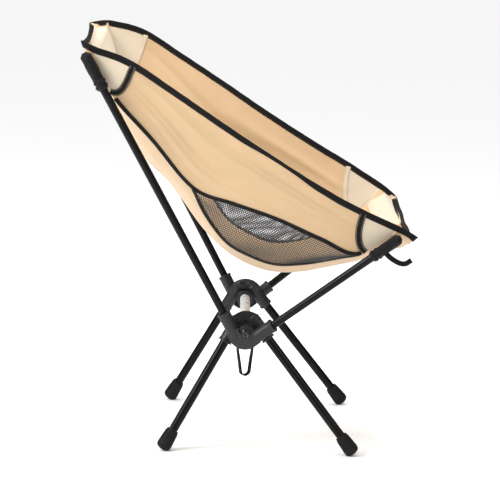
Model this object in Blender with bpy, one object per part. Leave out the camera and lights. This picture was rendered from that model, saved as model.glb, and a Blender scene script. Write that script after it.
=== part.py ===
"""Ultralight backpacking chair: hub-and-pole frame with a hung bucket seat.

Metres, +Z up. The seat opens towards -Y, the sitter's left is +X, and the chair is
symmetric about X = 0. The floor is Z = 0 and the origin is the middle of the footprint.
Points are written as (forward, out, up), and at() turns them into world coordinates.
"""
import math

import bmesh
import bpy
import numpy as np
from mathutils import Matrix, Vector

# ---------------------------------------------------------------- driving dimensions
GAP = 0.0003                      # clearance between touching pieces
MIDDLE = -0.0026                  # forward place of the footprint's middle
ROUND = 16                        # sides of a round tube

LEG_RADIUS = 0.00725
LEG_BORE = 0.0063
POLE_RADIUS = 0.00635
POLE_BORE = 0.0055
CORD_RADIUS = 0.0015

HINGE = (0.0025, 0.195)           # hinge axis of the seat hubs: forward, up
LEG_HUB_CROSSING = (0.0, 0.156, 0.231)      # where the two leg axes of one side cross
SEAT_HUB_CROSSING = (-0.0035, 0.184, 0.171)  # where the two pole axes of one side cross
REAR_LEG_SLOPE = (-0.5565, 0.19, -1.0)      # forward, out, up for each metre of height
FRONT_LEG_SLOPE = (0.806, 0.19, -1.0)
BACK_POLE_SLOPE = (-0.555, 0.13, 1.0)
FRONT_POLE_SLOPE = (1.258, 0.339, 1.0)

ARM_HALF = 0.0105                 # half width of a hub arm
ARM_LENGTH = 0.065                # from the crossing to the sleeve's end
HUB_HALF = 0.009                  # half thickness of a hub
SOCKET_DEPTH = 0.030
HUB_BEVEL = 0.0025

TUBE_RADIUS = 0.0085              # cross tube between the leg hubs
TUBE_BORE = 0.0074
TUBE_END = 0.1475                 # half length of the cross tube
COLLAR_RADIUS = 0.0145            # collar on each leg hub that holds the tube
COLLAR_FACE, COLLAR_END = 0.136, 0.158   # how far out the collar begins and ends
PIN_RADIUS = 0.004
PIN_HEAD_RADIUS = 0.0062
PIN_HEAD = 0.003
BOSS_RADIUS = 0.0125
BOSS_FACE = 0.1765                # where the two hubs' bosses meet
PIN_HEAD_FACE = 0.1990            # underside of the pin's head
LEG_BORE_SPAN = (0.120, 0.200)    # cutters on the hinge axis: where they start and stop
SEAT_BORE_SPAN = (0.160, 0.220)

LEG_END_UP = {"rear": 0.0106, "front": 0.0108}   # height of each leg tube's lower end
BACK_TIP_UP = 0.631
FRONT_TIP_UP = 0.3595
FERRULE_UP = 0.418                # joint between the two back pole sections
FERRULE_LENGTH = 0.060
TIP_LENGTH = 0.006

FOOT_MOUTH = 0.0005               # radius of the hollow at the foot's floor
FOOT_PROFILE = ((0.0265, 0.0097), (0.024, 0.0102), (0.012, 0.0106), (0.004, 0.0117),
                (-0.002, 0.0121), (-0.006, 0.0110), (-0.0085, 0.0080), (-0.0098, 0.0035))

CLOTH = 0.0020                    # thickness of a cloth panel's solid
TAPE = 0.0010
BINDING_DEEP = 0.0110
BINDING_THICK = 0.0030
SEAM_GAP = 0.0022                 # half the room between two panels at a seam

# Top edge of a side panel, from the back seam to the front seam.
TOP_EDGE = ((-0.253, 0.241, 0.652), (-0.190, 0.249, 0.632), (-0.120, 0.257, 0.594),
            (-0.050, 0.261, 0.553), (0.020, 0.262, 0.510), (0.080, 0.260, 0.474),
            (0.135, 0.256, 0.441), (0.180, 0.251, 0.415), (0.243, 0.243, 0.379))
# Lower edge of a side panel; from the fourth to the eighth point it borders the mesh.
SIDE_SEAM = ((-0.253, 0.241, 0.652), (-0.221, 0.221, 0.577), (-0.155, 0.194, 0.501),
             (-0.088, 0.178, 0.424), (-0.020, 0.203, 0.403), (0.045, 0.217, 0.384),
             (0.115, 0.220, 0.355), (0.177, 0.212, 0.332), (0.243, 0.243, 0.379))
MESH_FIRST, MESH_LAST = 3, 7
# Lower edge of the mesh panel, between the same two points of the seam.
MESH_LOW = ((-0.088, 0.178, 0.424), (-0.066, 0.158, 0.378), (-0.034, 0.143, 0.335),
            (0.003, 0.132, 0.312), (0.045, 0.127, 0.298), (0.090, 0.132, 0.301),
            (0.135, 0.155, 0.313), (0.177, 0.212, 0.332))
BACK_CORNER = (-0.268, 0.236, 0.660)
FRONT_CORNER = (0.269, 0.243, 0.366)
# Middle of the centre panel from the back edge to the front edge: forward, up.
CENTRE_LINE = ((-0.277, 0.648), (-0.265, 0.622), (-0.246, 0.588), (-0.229, 0.556),
               (-0.203, 0.506), (-0.172, 0.457), (-0.134, 0.422), (-0.110, 0.391),
               (-0.075, 0.344), (-0.042, 0.311), (-0.005, 0.286), (0.040, 0.271),
               (0.089, 0.271), (0.135, 0.282), (0.180, 0.296), (0.206, 0.305),
               (0.236, 0.318), (0.260, 0.334), (0.272, 0.348))
# Shares of the centre line at which its edge meets the seam's ends and the mesh's ends.
SEAM_FROM, MESH_FROM, MESH_TO, SEAM_TO = 1 / 18, 7 / 18, 14 / 18, 17 / 18
BACK_BAND, FRONT_BAND = 1 / 8, 7 / 8   # where the corner tapes cross the side panels
BAND_STEP = 0.008                 # from a band's middle to the side panel's end
PATCH_GAP = 0.006                 # from the side panel's end to the corner patch
PATCH_FROM, PATCH_TO = 0.036, 0.955    # outer ends of the corner patches
BAND_BEHIND, BAND_AHEAD = 0.012, 0.014  # how far a corner tape reaches from its middle
TAPE_CLEAR = 0.0006               # room between a tape and the cloth under it
SEAM_TAPE_WIDTH = 0.005
SEAM_TAPE_EDGE = 0.003            # from the seam to the seam tape's lower edge
SEAM_TAPE_AFTER, SEAM_TAPE_BEFORE = 0.018, 0.016   # its ends, counted from the bands
RIM_CLEAR = BINDING_DEEP + 0.0025  # from the rim to the panels' upper edges
MESH_START, MESH_STOP = 0.06, 0.93  # share of the lens that the mesh panel fills

CORD_END_GAP = 0.002
CORD_TIP_GAP = 0.014
TIP_STEM = 0.012                  # how far an end plug reaches into its pole
FERRULE_BORE = 0.0042
PIN_OVERLAP = 0.003               # the pin starts this far outside the cross tube's end

POCKET_LENGTH = {"back": 0.058, "front": 0.050}
POCKET_SEAM = {"back": 2 / 18, "front": 16 / 18}  # share of the centre edge it is sewn at
POCKET_CLEAR = 0.0012             # between the pocket and the pole's end
POCKET_WALL = 0.0026
POCKET_SQUASH = 1.22              # the pocket is wider along the cloth than away from it

LOOP_OUT = -0.122                 # the loop hangs beside the right leg hub's collar
LOOP_WIDTH = 0.010
LOOP_THICK = 0.0018
LOOP_TOP_RADIUS = 0.0100
LOOP_BOTTOM_UP = 0.1125
LOOP_BOTTOM_RADIUS = 0.0075
LOOP_BELLY = 0.0135               # half width at its widest
LOOP_WIDEST_DOWN = 0.034          # how far that is below the tube's axis

TAB_ROUTE = ((0.219, 0.2455, 0.3290), (0.229, 0.2465, 0.3215), (0.240, 0.2470, 0.3190),
             (0.250, 0.2470, 0.3215), (0.258, 0.2470, 0.3265))
TAB_HALF = 0.0034

SIDES = (("left", 1), ("right", -1))

COLOURS = {
    "frame_black": ((0.012, 0.012, 0.013), 0.32, 0.6),
    "hub_black": ((0.014, 0.014, 0.015), 0.48, 0.0),
    "tube_bright": ((0.80, 0.80, 0.82), 0.15, 1.0),
    "steel": ((0.30, 0.30, 0.31), 0.30, 1.0),
    "rubber_black": ((0.010, 0.010, 0.011), 0.75, 0.0),
    "cord_grey": ((0.10, 0.10, 0.11), 0.80, 0.0),
    "cloth_tan": ((0.62, 0.43, 0.22), 0.80, 0.0),
    "cloth_pale": ((0.72, 0.62, 0.45), 0.80, 0.0),
    "mesh_black": ((0.016, 0.015, 0.015), 0.80, 0.0),
    "webbing_black": ((0.010, 0.010, 0.011), 0.85, 0.0),
}


# ---------------------------------------------------------------- shared helpers
def clear_scene():
    for thing in list(bpy.data.objects):
        bpy.data.objects.remove(thing, do_unlink=True)


def material(name):
    known = bpy.data.materials.get(name)
    if known:
        return known
    colour, rough, metal = COLOURS[name]
    made = bpy.data.materials.new(name)
    made.use_nodes = True
    shader = made.node_tree.nodes["Principled BSDF"]
    shader.inputs["Base Color"].default_value = (*colour, 1.0)
    shader.inputs["Roughness"].default_value = rough
    shader.inputs["Metallic"].default_value = metal
    return made


def at(side, point):
    """World position of a (forward, out, up) point on the left (1) or right (-1)."""
    forward, out, up = point
    return Vector((side * out, MIDDLE - forward, up))


def heading(side, slope):
    """World direction of a (forward, out, up) slope on the left (1) or right (-1)."""
    forward, out, up = slope
    return Vector((side * out, -forward, up)).normalized()


def along(crossing, slope, up):
    """The point at a height on an axis that passes a crossing point."""
    rise = (up - crossing[2]) / slope[2]
    return tuple(crossing[i] + slope[i] * rise for i in range(3))


def rotation_to(direction):
    """A rotation that takes +Z to a direction."""
    return Vector((0, 0, 1)).rotation_difference(Vector(direction)).to_matrix().to_4x4()


def finish(name, mesh, colour, location=(0, 0, 0), turn=None, smooth=True):
    mesh.materials.append(material(colour))
    if smooth:
        mesh.shade_smooth()
        mesh.set_sharp_from_angle(angle=math.radians(35))
    thing = bpy.data.objects.new(name, mesh)
    bpy.context.scene.collection.objects.link(thing)
    thing.matrix_world = Matrix.Translation(location) @ (turn or Matrix.Identity(4))
    return thing


def mesh_from(name, points, faces):
    """A mesh whose faces are turned outwards and whose doubles are merged."""
    work = bmesh.new()
    made = [work.verts.new(point) for point in points]
    for face in faces:
        work.faces.new([made[i] for i in face])
    bmesh.ops.remove_doubles(work, verts=work.verts, dist=1e-6)
    bmesh.ops.recalc_face_normals(work, faces=work.faces)
    mesh = bpy.data.meshes.new(name)
    work.to_mesh(mesh)
    work.free()
    return mesh


def turned(name, profile, closed=True, sides=ROUND, squash=1.0):
    """Turn a (up, radius) profile about +Z; a closed one is a ring, an open one a plug."""
    points, faces = [], []
    rows = len(profile)
    for up, radius in profile:
        for k in range(sides):
            angle = 2 * math.pi * (k + 0.5) / sides
            points.append((radius * math.cos(angle), squash * radius * math.sin(angle), up))
    for row in range(rows if closed else rows - 1):
        after = (row + 1) % rows
        for k in range(sides):
            k2 = (k + 1) % sides
            faces.append((row * sides + k, row * sides + k2, after * sides + k2, after * sides + k))
    if not closed:
        faces.append(tuple(range(sides)))
        faces.append(tuple((rows - 1) * sides + k for k in range(sides)))
    return mesh_from(name, points, faces)


def tube(name, start, end, radius, bore, colour):
    """A hollow round tube between two points; without a bore it is a solid rod."""
    length = (end - start).length
    if bore:
        profile = ((0, bore), (length, bore), (length, radius), (0, radius))
        mesh = turned(name, profile)
    else:
        mesh = turned(name, ((0, radius), (length, radius)), closed=False, sides=8)
    return finish(name, mesh, colour, start, rotation_to(end - start))


def curve(stations, t):
    """Catmull-Rom curve through evenly weighted stations, t from 0 to 1."""
    last = len(stations) - 1
    place = min(max(t, 0.0), 1.0) * last
    i = min(int(place), last - 1)
    f = place - i
    p1, p2 = np.array(stations[i], float), np.array(stations[i + 1], float)
    p0 = np.array(stations[i - 1], float) if i > 0 else 2 * p1 - p2
    p3 = np.array(stations[i + 2], float) if i + 2 <= last else 2 * p2 - p1
    return 0.5 * (2 * p1 + (p2 - p0) * f + (2 * p0 - 5 * p1 + 4 * p2 - p3) * f ** 2
                  + (3 * p1 - p0 - 3 * p2 + p3) * f ** 3)


def boolean(thing, cutter, operation, solver="EXACT"):
    cutter.hide_render = True
    cutter.display_type = "WIRE"
    cut = thing.modifiers.new(operation.lower() + "_" + cutter.name, "BOOLEAN")
    cut.operation = operation
    cut.object = cutter
    cut.solver = solver


def guide_rod(name, start, end, radius):
    """A solid rod that only shapes another object."""
    length = (end - start).length
    mesh = turned(name, ((0, radius), (length, radius)), closed=False)
    return finish(name, mesh, "hub_black", start, rotation_to(end - start))


def guide_on_hinge(name, side, profile):
    """A solid turned about the hinge axis from (out, radius) pairs, to shape a hub."""
    mesh = turned(name, profile, closed=False)
    start = at(side, (HINGE[0], 0.0, HINGE[1]))
    return finish(name, mesh, "hub_black", start, rotation_to((side, 0, 0)))


def shell(name, surface, across, down, colour, offset=0.0, thick=CLOTH):
    """A thin closed solid on a surface(a, b) that is sampled at two lists of values."""
    rows = [[np.array(surface(a, b)) for b in down] for a in across]
    grid = np.array(rows)
    run_a = np.gradient(grid, axis=0)
    run_b = np.gradient(grid, axis=1)
    normal = np.cross(run_a, run_b)
    normal /= np.linalg.norm(normal, axis=2, keepdims=True)
    outer = grid + normal * (offset + thick / 2)
    inner = grid + normal * (offset - thick / 2)
    na, nb = grid.shape[:2]
    points = [tuple(p) for layer in (outer, inner) for p in layer.reshape(-1, 3)]
    faces = []

    def index(layer, a, b):
        return layer * na * nb + a * nb + b

    for a in range(na - 1):
        for b in range(nb - 1):
            for layer in (0, 1):
                faces.append((index(layer, a, b), index(layer, a + 1, b),
                              index(layer, a + 1, b + 1), index(layer, a, b + 1)))
    for a in range(na - 1):
        for b in (0, nb - 1):
            faces.append((index(0, a, b), index(0, a + 1, b), index(1, a + 1, b), index(1, a, b)))
    for b in range(nb - 1):
        for a in (0, na - 1):
            faces.append((index(0, a, b), index(0, a, b + 1), index(1, a, b + 1), index(1, a, b)))
    return finish(name, mesh_from(name, points, faces), colour)


# ---------------------------------------------------------------- hubs and their parts
def hub_plane(side, crossing, slope_a, slope_b):
    """Origin, arm directions and outward normal of one hub."""
    origin = at(side, crossing)
    arm_a = heading(side, slope_a)
    arm_b = heading(side, slope_b)
    normal = arm_a.cross(arm_b).normalized()
    if normal.x * side < 0:
        normal.negate()
    return origin, arm_a, arm_b, normal


def hub_outline(origin, arms, normal, centre):
    """The V outline: two arms whose outer edges run into an arc round the hinge axis."""
    def outer_normal(arm, other):
        away = arm.cross(normal)
        return away if away.dot(other) < 0 else -away

    outer_a = outer_normal(arms[0], arms[1])
    outer_b = outer_normal(arms[1], arms[0])
    reach_a = (origin - centre).dot(outer_a) + ARM_HALF
    reach_b = (origin - centre).dot(outer_b) + ARM_HALF
    steps = 8
    arc = []
    for k in range(steps + 1):
        f = k / steps
        facing = outer_a.slerp(outer_b, f)
        arc.append(centre + facing * (reach_a + (reach_b - reach_a) * f))
    half_angle = arms[0].angle(arms[1]) / 2
    bisector = (arms[0] + arms[1]).normalized()
    crotch = origin + bisector * (ARM_HALF / math.sin(half_angle))
    ends = [origin + arm * ARM_LENGTH for arm in arms]
    soften = 0.004                # how far the cut inside corner reaches along each arm
    return ([ends[0] + outer_a * ARM_HALF] + arc + [ends[1] + outer_b * ARM_HALF,
            ends[1] - outer_b * ARM_HALF, crotch + arms[1] * soften,
            crotch + arms[0] * soften, ends[0] - outer_a * ARM_HALF])


def make_hub(name, side, crossing, slopes, rod_radius, boss_profile, bore_profile):
    """One moulded hub: an extruded V, a boss round the hinge axis, two sockets and a bore."""
    origin, arm_a, arm_b, normal = hub_plane(side, crossing, slopes[0], slopes[1])
    axis_point = at(side, (HINGE[0], 0.0, HINGE[1]))
    depth = (origin - axis_point).dot(normal) / normal.x
    centre = axis_point + Vector((depth, 0, 0))
    outline = hub_outline(origin, (arm_a, arm_b), normal, centre)
    count = len(outline)
    points = [p - normal * HUB_HALF for p in outline] + [p + normal * HUB_HALF for p in outline]
    faces = [tuple(range(count)), tuple(range(count, 2 * count))]
    faces += [(k, (k + 1) % count, count + (k + 1) % count, count + k) for k in range(count)]
    hub = finish(name, mesh_from(name, points, faces), "hub_black")
    soft = hub.modifiers.new("soft_edges", "BEVEL")
    soft.width = HUB_BEVEL
    soft.segments = 1
    soft.limit_method = "ANGLE"
    soft.angle_limit = math.radians(50)
    boolean(hub, guide_on_hinge(name + "_boss", side, boss_profile), "UNION", "MANIFOLD")
    for count, arm in enumerate((arm_a, arm_b)):
        socket = guide_rod(name + "_socket%d" % count, origin + arm * (ARM_LENGTH - SOCKET_DEPTH),
                           origin + arm * (ARM_LENGTH + 0.01), rod_radius + GAP)
        boolean(hub, socket, "DIFFERENCE")
    boolean(hub, guide_on_hinge(name + "_bore", side, bore_profile), "DIFFERENCE")


def make_leg_hub(word, side):
    boss = ((COLLAR_FACE, COLLAR_RADIUS), (COLLAR_END, COLLAR_RADIUS), (COLLAR_END, BOSS_RADIUS),
            (BOSS_FACE, BOSS_RADIUS))
    first, last = LEG_BORE_SPAN
    bore = ((first, TUBE_RADIUS + GAP), (TUBE_END + GAP, TUBE_RADIUS + GAP),
            (TUBE_END + GAP, PIN_RADIUS + GAP), (last, PIN_RADIUS + GAP))
    make_hub("leg_hub_" + word, side, LEG_HUB_CROSSING, (REAR_LEG_SLOPE, FRONT_LEG_SLOPE),
             LEG_RADIUS, boss, bore)


def make_seat_hub(word, side):
    boss = ((BOSS_FACE + GAP, BOSS_RADIUS), (PIN_HEAD_FACE - GAP, BOSS_RADIUS))
    bore = tuple((out, PIN_RADIUS + GAP) for out in SEAT_BORE_SPAN)
    make_hub("seat_hub_" + word, side, SEAT_HUB_CROSSING, (BACK_POLE_SLOPE, FRONT_POLE_SLOPE),
             POLE_RADIUS, boss, bore)


def make_hinge_pin(word, side):
    """A shouldered rivet: shank through both hubs and a domed head outside."""
    name = "hinge_pin_" + word
    inner = TUBE_END + PIN_OVERLAP
    length = PIN_HEAD_FACE - inner
    profile = ((0, PIN_RADIUS), (length, PIN_RADIUS), (length, PIN_HEAD_RADIUS),
               (length + PIN_HEAD * 0.6, PIN_HEAD_RADIUS), (length + PIN_HEAD, PIN_HEAD_RADIUS * 0.7))
    start = at(side, (HINGE[0], inner, HINGE[1]))
    finish(name, turned(name, profile, closed=False), "steel", start, rotation_to((side, 0, 0)))


# ---------------------------------------------------------------- legs, feet and poles
def make_leg(place, word, side, slope):
    name = place + "_" + word
    origin = at(side, LEG_HUB_CROSSING)
    arm = heading(side, slope)
    top = origin + arm * (ARM_LENGTH - SOCKET_DEPTH + 2 * GAP)
    end = at(side, along(LEG_HUB_CROSSING, slope, LEG_END_UP[place]))
    tube("leg_" + name, top, end, LEG_RADIUS, LEG_BORE, "frame_black")
    tube("leg_cord_" + name, top + arm * CORD_END_GAP, end - arm * 2 * GAP, CORD_RADIUS, 0, "cord_grey")
    make_foot("foot_" + name, end, arm)


def make_foot(name, end, arm):
    """A rubber cap on the leg's end, cut flat where it meets the floor."""
    bore = LEG_RADIUS + GAP
    inner = ((-2 * GAP, FOOT_MOUTH), (-2 * GAP, bore), (FOOT_PROFILE[0][0], bore))
    mesh = turned(name, inner + FOOT_PROFILE, closed=False)
    foot_frame = Matrix.Translation(end) @ rotation_to(-arm)
    mesh.transform(foot_frame)
    work = bmesh.new()
    work.from_mesh(mesh)
    everything = work.verts[:] + work.edges[:] + work.faces[:]
    bmesh.ops.bisect_plane(work, geom=everything, plane_co=(0, 0, 0), plane_no=(0, 0, -1),
                           clear_outer=True)
    rim = [edge for edge in work.edges if edge.is_boundary]
    bmesh.ops.holes_fill(work, edges=rim)
    bmesh.ops.recalc_face_normals(work, faces=work.faces)
    work.to_mesh(mesh)
    work.free()
    finish(name, mesh, "rubber_black")


def make_tip(name, end, direction):
    """A plug in the pole's end with a domed head."""
    stem = POLE_BORE - GAP
    profile = ((-TIP_STEM, stem), (GAP, stem), (GAP, POLE_RADIUS), (0.0025, POLE_RADIUS + 0.0008),
               (TIP_LENGTH, 0.0035))
    finish(name, turned(name, profile, closed=False), "hub_black", end, rotation_to(direction))


def make_back_pole(word, side):
    origin = at(side, SEAT_HUB_CROSSING)
    arm = heading(side, BACK_POLE_SLOPE)
    foot = origin + arm * (ARM_LENGTH - SOCKET_DEPTH + 2 * GAP)
    joint = at(side, along(SEAT_HUB_CROSSING, BACK_POLE_SLOPE, FERRULE_UP))
    tip = at(side, along(SEAT_HUB_CROSSING, BACK_POLE_SLOPE, BACK_TIP_UP))
    half = arm * (FERRULE_LENGTH / 2)
    tube("back_pole_lower_" + word, foot, joint - arm * GAP / 2, POLE_RADIUS, POLE_BORE, "frame_black")
    tube("back_pole_upper_" + word, joint + arm * GAP / 2, tip, POLE_RADIUS, POLE_BORE, "frame_black")
    tube("ferrule_" + word, joint - half, joint + half, POLE_BORE - GAP, FERRULE_BORE, "tube_bright")
    tube("back_pole_cord_" + word, foot + arm * CORD_END_GAP, tip - arm * CORD_TIP_GAP,
         CORD_RADIUS, 0, "cord_grey")
    make_tip("back_pole_tip_" + word, tip, arm)


def make_front_pole(word, side):
    origin = at(side, SEAT_HUB_CROSSING)
    arm = heading(side, FRONT_POLE_SLOPE)
    foot = origin + arm * (ARM_LENGTH - SOCKET_DEPTH + 2 * GAP)
    tip = at(side, along(SEAT_HUB_CROSSING, FRONT_POLE_SLOPE, FRONT_TIP_UP))
    tube("front_pole_" + word, foot, tip, POLE_RADIUS, POLE_BORE, "frame_black")
    tube("front_pole_cord_" + word, foot + arm * CORD_END_GAP, tip - arm * CORD_TIP_GAP,
         CORD_RADIUS, 0, "cord_grey")
    make_tip("front_pole_tip_" + word, tip, arm)


def make_pocket(place, word, side, slope, tip_up):
    """A cloth sleeve over the pole's end: an oval cup, open towards the hub."""
    name = "pole_pocket_%s_%s" % (place, word)
    length = POCKET_LENGTH[place]
    arm = heading(side, slope)
    tip = at(side, along(SEAT_HUB_CROSSING, slope, tip_up)) + arm * (TIP_LENGTH + POCKET_CLEAR)
    away = tip - at(side, centre_edge(POCKET_SEAM[place]))
    away = (away - arm * away.dot(arm)).normalized()
    hole = POLE_RADIUS + POCKET_CLEAR
    crown = 0.0022                # the closed end
    profile = ((-length, hole), (0, hole), (0.0, POCKET_CLEAR), (crown, POCKET_CLEAR),
               (crown, hole - 0.001), (-0.006, hole + POCKET_WALL),
               (-length * 0.55, hole + POCKET_WALL + 0.0006), (-length, hole + 0.0014))
    mesh = turned(name, profile, squash=POCKET_SQUASH)
    turn = Matrix((away, arm.cross(away), arm)).transposed().to_4x4()
    finish(name, mesh, "webbing_black", tip, turn)


# ---------------------------------------------------------------- sewn seat
def side_surface(side):
    """Side panel: u runs back to front, v from the top edge to the seam."""
    def surface(u, v):
        top, low = curve(TOP_EDGE, u), curve(SIDE_SEAM, u)
        span = low - top
        bulge = 0.03 * np.linalg.norm(span) * math.sin(math.pi * v)
        point = top + span * v + np.array((0.0, bulge, 0.0))
        return at(side, point)
    return surface


def mesh_surface(side):
    """Lens-shaped mesh panel between the side panel and the centre panel."""
    first, last = MESH_FIRST / 8, MESH_LAST / 8

    def surface(u, v):
        high, low = curve(SIDE_SEAM, first + (last - first) * u), curve(MESH_LOW, u)
        belly = 0.006 * math.sin(math.pi * v) * math.sin(math.pi * u)
        point = high + (low - high) * v + np.array((0.0, belly, -belly))
        return at(side, point)
    return surface


def centre_edge(w):
    """Edge of the centre panel: back corner, seam, mesh, seam, front corner."""
    seam_mesh, seam_end = MESH_FIRST / 8, MESH_LAST / 8
    if w < SEAM_FROM:
        return np.array(BACK_CORNER) + (np.array(SIDE_SEAM[0]) - BACK_CORNER) * w / SEAM_FROM
    if w < MESH_FROM:
        return curve(SIDE_SEAM, seam_mesh * (w - SEAM_FROM) / (MESH_FROM - SEAM_FROM))
    if w < MESH_TO:
        return curve(MESH_LOW, (w - MESH_FROM) / (MESH_TO - MESH_FROM))
    if w < SEAM_TO:
        return curve(SIDE_SEAM, seam_end + (1 - seam_end) * (w - MESH_TO) / (SEAM_TO - MESH_TO))
    share = (w - SEAM_TO) / (1 - SEAM_TO)
    return np.array(SIDE_SEAM[-1]) + (np.array(FRONT_CORNER) - SIDE_SEAM[-1]) * share


def centre_surface(w, v):
    """Centre panel: w runs from the back edge to the front edge, v from side to side."""
    edge, middle = centre_edge(w), curve(CENTRE_LINE, w)
    lift = v * v
    forward = middle[0] + (edge[0] - middle[0]) * lift
    up = middle[1] + (edge[2] - middle[1]) * lift
    return at(1, (forward, v * edge[1], up))


def spaced(first, last, count):
    return [first + (last - first) * k / count for k in range(count + 1)]


def inset_rows(surface, across, count, top, bottom):
    """A surface whose v range is pulled in by real lengths at its two long edges."""
    def inner(u, f):
        length = sum((surface(u, (k + 1) / 6) - surface(u, k / 6)).length for k in range(6))
        low, high = top / length, 1 - bottom / length
        return surface(u, low + (high - low) * f)
    return inner, across, spaced(0.0, 1.0, count)


def make_side_panels(word, side):
    surface = side_surface(side)
    back, front = BACK_BAND + BAND_STEP, FRONT_BAND - BAND_STEP
    pieces = (
        ("side_panel_" + word, spaced(back, front, 18), 5, "cloth_tan"),
        ("corner_patch_back_" + word, spaced(PATCH_FROM, back - PATCH_GAP, 4), 3, "cloth_pale"),
        ("corner_patch_front_" + word, spaced(front + PATCH_GAP, PATCH_TO, 4), 3, "cloth_pale"))
    for name, run, rows, colour in pieces:
        shell(name, *inset_rows(surface, run, rows, RIM_CLEAR, SEAM_GAP), colour)
    lift = -side * (CLOTH / 2 + TAPE / 2 + TAPE_CLEAR)
    for place, middle in (("back", BACK_BAND), ("front", FRONT_BAND)):
        run = spaced(middle - BAND_BEHIND, middle + BAND_AHEAD, 2)
        tape = inset_rows(surface, run, 5, RIM_CLEAR, SEAM_GAP)
        shell("corner_tape_%s_%s" % (place, word), *tape, "webbing_black", lift, TAPE)

    def seam_strip(u, f):
        length = (surface(u, 1.0) - surface(u, 0.0)).length
        return surface(u, 1.0 - (SEAM_TAPE_EDGE + SEAM_TAPE_WIDTH * (1 - f)) / length)
    run = spaced(BACK_BAND + SEAM_TAPE_AFTER, FRONT_BAND - SEAM_TAPE_BEFORE, 18)
    shell("seam_tape_" + word, seam_strip, run, [0.0, 1.0], "webbing_black", lift, TAPE)


def make_mesh_panel(word, side):
    panel = inset_rows(mesh_surface(side), spaced(MESH_START, MESH_STOP, 14), 4, SEAM_GAP, SEAM_GAP)
    shell("mesh_panel_" + word, *panel, "mesh_black")


def make_centre_panel():
    ease = 0.004                  # the margin along the seams, where there is no binding

    def inner(f, g):
        back_step = (centre_surface(SEAM_FROM, g) - centre_surface(0.0, g)).length
        front_step = (centre_surface(1.0, g) - centre_surface(SEAM_TO, g)).length
        first = SEAM_FROM * RIM_CLEAR / back_step
        last = 1 - (1 - SEAM_TO) * RIM_CLEAR / front_step
        w = first + (last - first) * f
        past_corner = min(w - SEAM_FROM, SEAM_TO - w) / (0.7 * SEAM_FROM)
        margin = RIM_CLEAR + 0.001 + (ease - RIM_CLEAR) * min(max(past_corner, 0.0), 1.0)
        return centre_surface(w, g * (1 - margin / centre_edge(w)[1]))
    rows = spaced(0.0, 1.0, 30)
    shell("centre_panel", inner, rows, spaced(-1.0, 1.0, 12), "cloth_tan")


def rim_half(side):
    """Half the rim from the middle of the front to the middle of the back: (point, drop)."""
    surface = side_surface(side)
    half = []
    for v in spaced(0.0, 0.875, 7):
        point = centre_surface(1.0, side * v)
        half.append((point, centre_surface(0.97, side * v) - point))
    half.append((at(side, FRONT_CORNER), Vector((0, 0.35, -1.0))))
    for u in spaced(1.0, 0.0, 26):
        inside = min(max(u, 0.06), 0.94)
        half.append((at(side, curve(TOP_EDGE, u)), surface(inside, 0.25) - surface(inside, 0.0)))
    half.append((at(side, BACK_CORNER), Vector((0, -0.4, -1.0))))
    for v in spaced(0.875, 0.0, 7):
        point = centre_surface(0.0, side * v)
        half.append((point, centre_surface(0.03, side * v) - point))
    return half


def make_binding():
    """One folded tape round the whole rim: a flat oblong swept along the edge."""
    ring = rim_half(1) + rim_half(-1)[-2:0:-1]
    count = len(ring)
    points, faces = [], []
    for k, (point, drop) in enumerate(ring):
        run = (ring[(k + 1) % count][0] - ring[k - 1][0]).normalized()
        down = Vector(drop)
        down = (down - run * down.dot(run)).normalized()
        across = run.cross(down)
        half = across * (BINDING_THICK / 2)
        low = point + down * BINDING_DEEP
        points += [point + half, low + half, low - half, point - half]
    for k in range(count):
        k2 = (k + 1) % count
        for c in range(4):
            c2 = (c + 1) % 4
            faces.append((4 * k + c, 4 * k2 + c, 4 * k2 + c2, 4 * k + c2))
    finish("edge_binding", mesh_from("edge_binding", points, faces), "webbing_black")


def make_pull_tab(word, side):
    """A short webbing tab that hangs from the front pole pocket."""
    def strip(t, f):
        here = curve(TAB_ROUTE, t)
        ahead, behind = curve(TAB_ROUTE, min(t + 0.02, 1)), curve(TAB_ROUTE, max(t - 0.02, 0))
        run = ahead - behind
        across = np.array((-run[2], 0.0, run[0]))
        across /= np.linalg.norm(across)
        return at(side, here + across * TAB_HALF * (2 * f - 1))
    shell("pull_tab_" + word, strip, spaced(0.0, 1.0, 8), [0.0, 1.0], "webbing_black", thick=0.0016)


def make_carry_loop():
    """A webbing loop slung over the cross tube, hanging in the fore-and-aft plane."""
    centre = np.array(HINGE)
    low = np.array((HINGE[0] + 0.001, LOOP_BOTTOM_UP + LOOP_BOTTOM_RADIUS))
    outline = []
    for k in range(9):
        angle = math.pi * k / 8
        outline.append(centre + LOOP_TOP_RADIUS * np.array((math.cos(angle), math.sin(angle))))
    outline.append(centre + np.array((-LOOP_BELLY, -LOOP_WIDEST_DOWN)))
    for k in range(7):
        angle = math.pi + math.pi * k / 6
        outline.append(low + LOOP_BOTTOM_RADIUS * np.array((math.cos(angle), math.sin(angle))))
    outline.append(centre + np.array((LOOP_BELLY, -LOOP_WIDEST_DOWN)))
    count = len(outline)
    points, faces = [], []
    for k in range(count):
        run = outline[(k + 1) % count] - outline[k - 1]
        away = np.array((run[1], -run[0])) / np.linalg.norm(run)
        for out, push in ((-1, 0), (1, 0), (1, 1), (-1, 1)):
            spot = outline[k] + away * LOOP_THICK * push
            points.append(at(1, (spot[0], LOOP_OUT + out * LOOP_WIDTH / 2, spot[1])))
    for k in range(count):
        k2 = (k + 1) % count
        for c in range(4):
            c2 = (c + 1) % 4
            faces.append((4 * k + c, 4 * k2 + c, 4 * k2 + c2, 4 * k + c2))
    finish("carry_loop", mesh_from("carry_loop", points, faces), "webbing_black")


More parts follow.
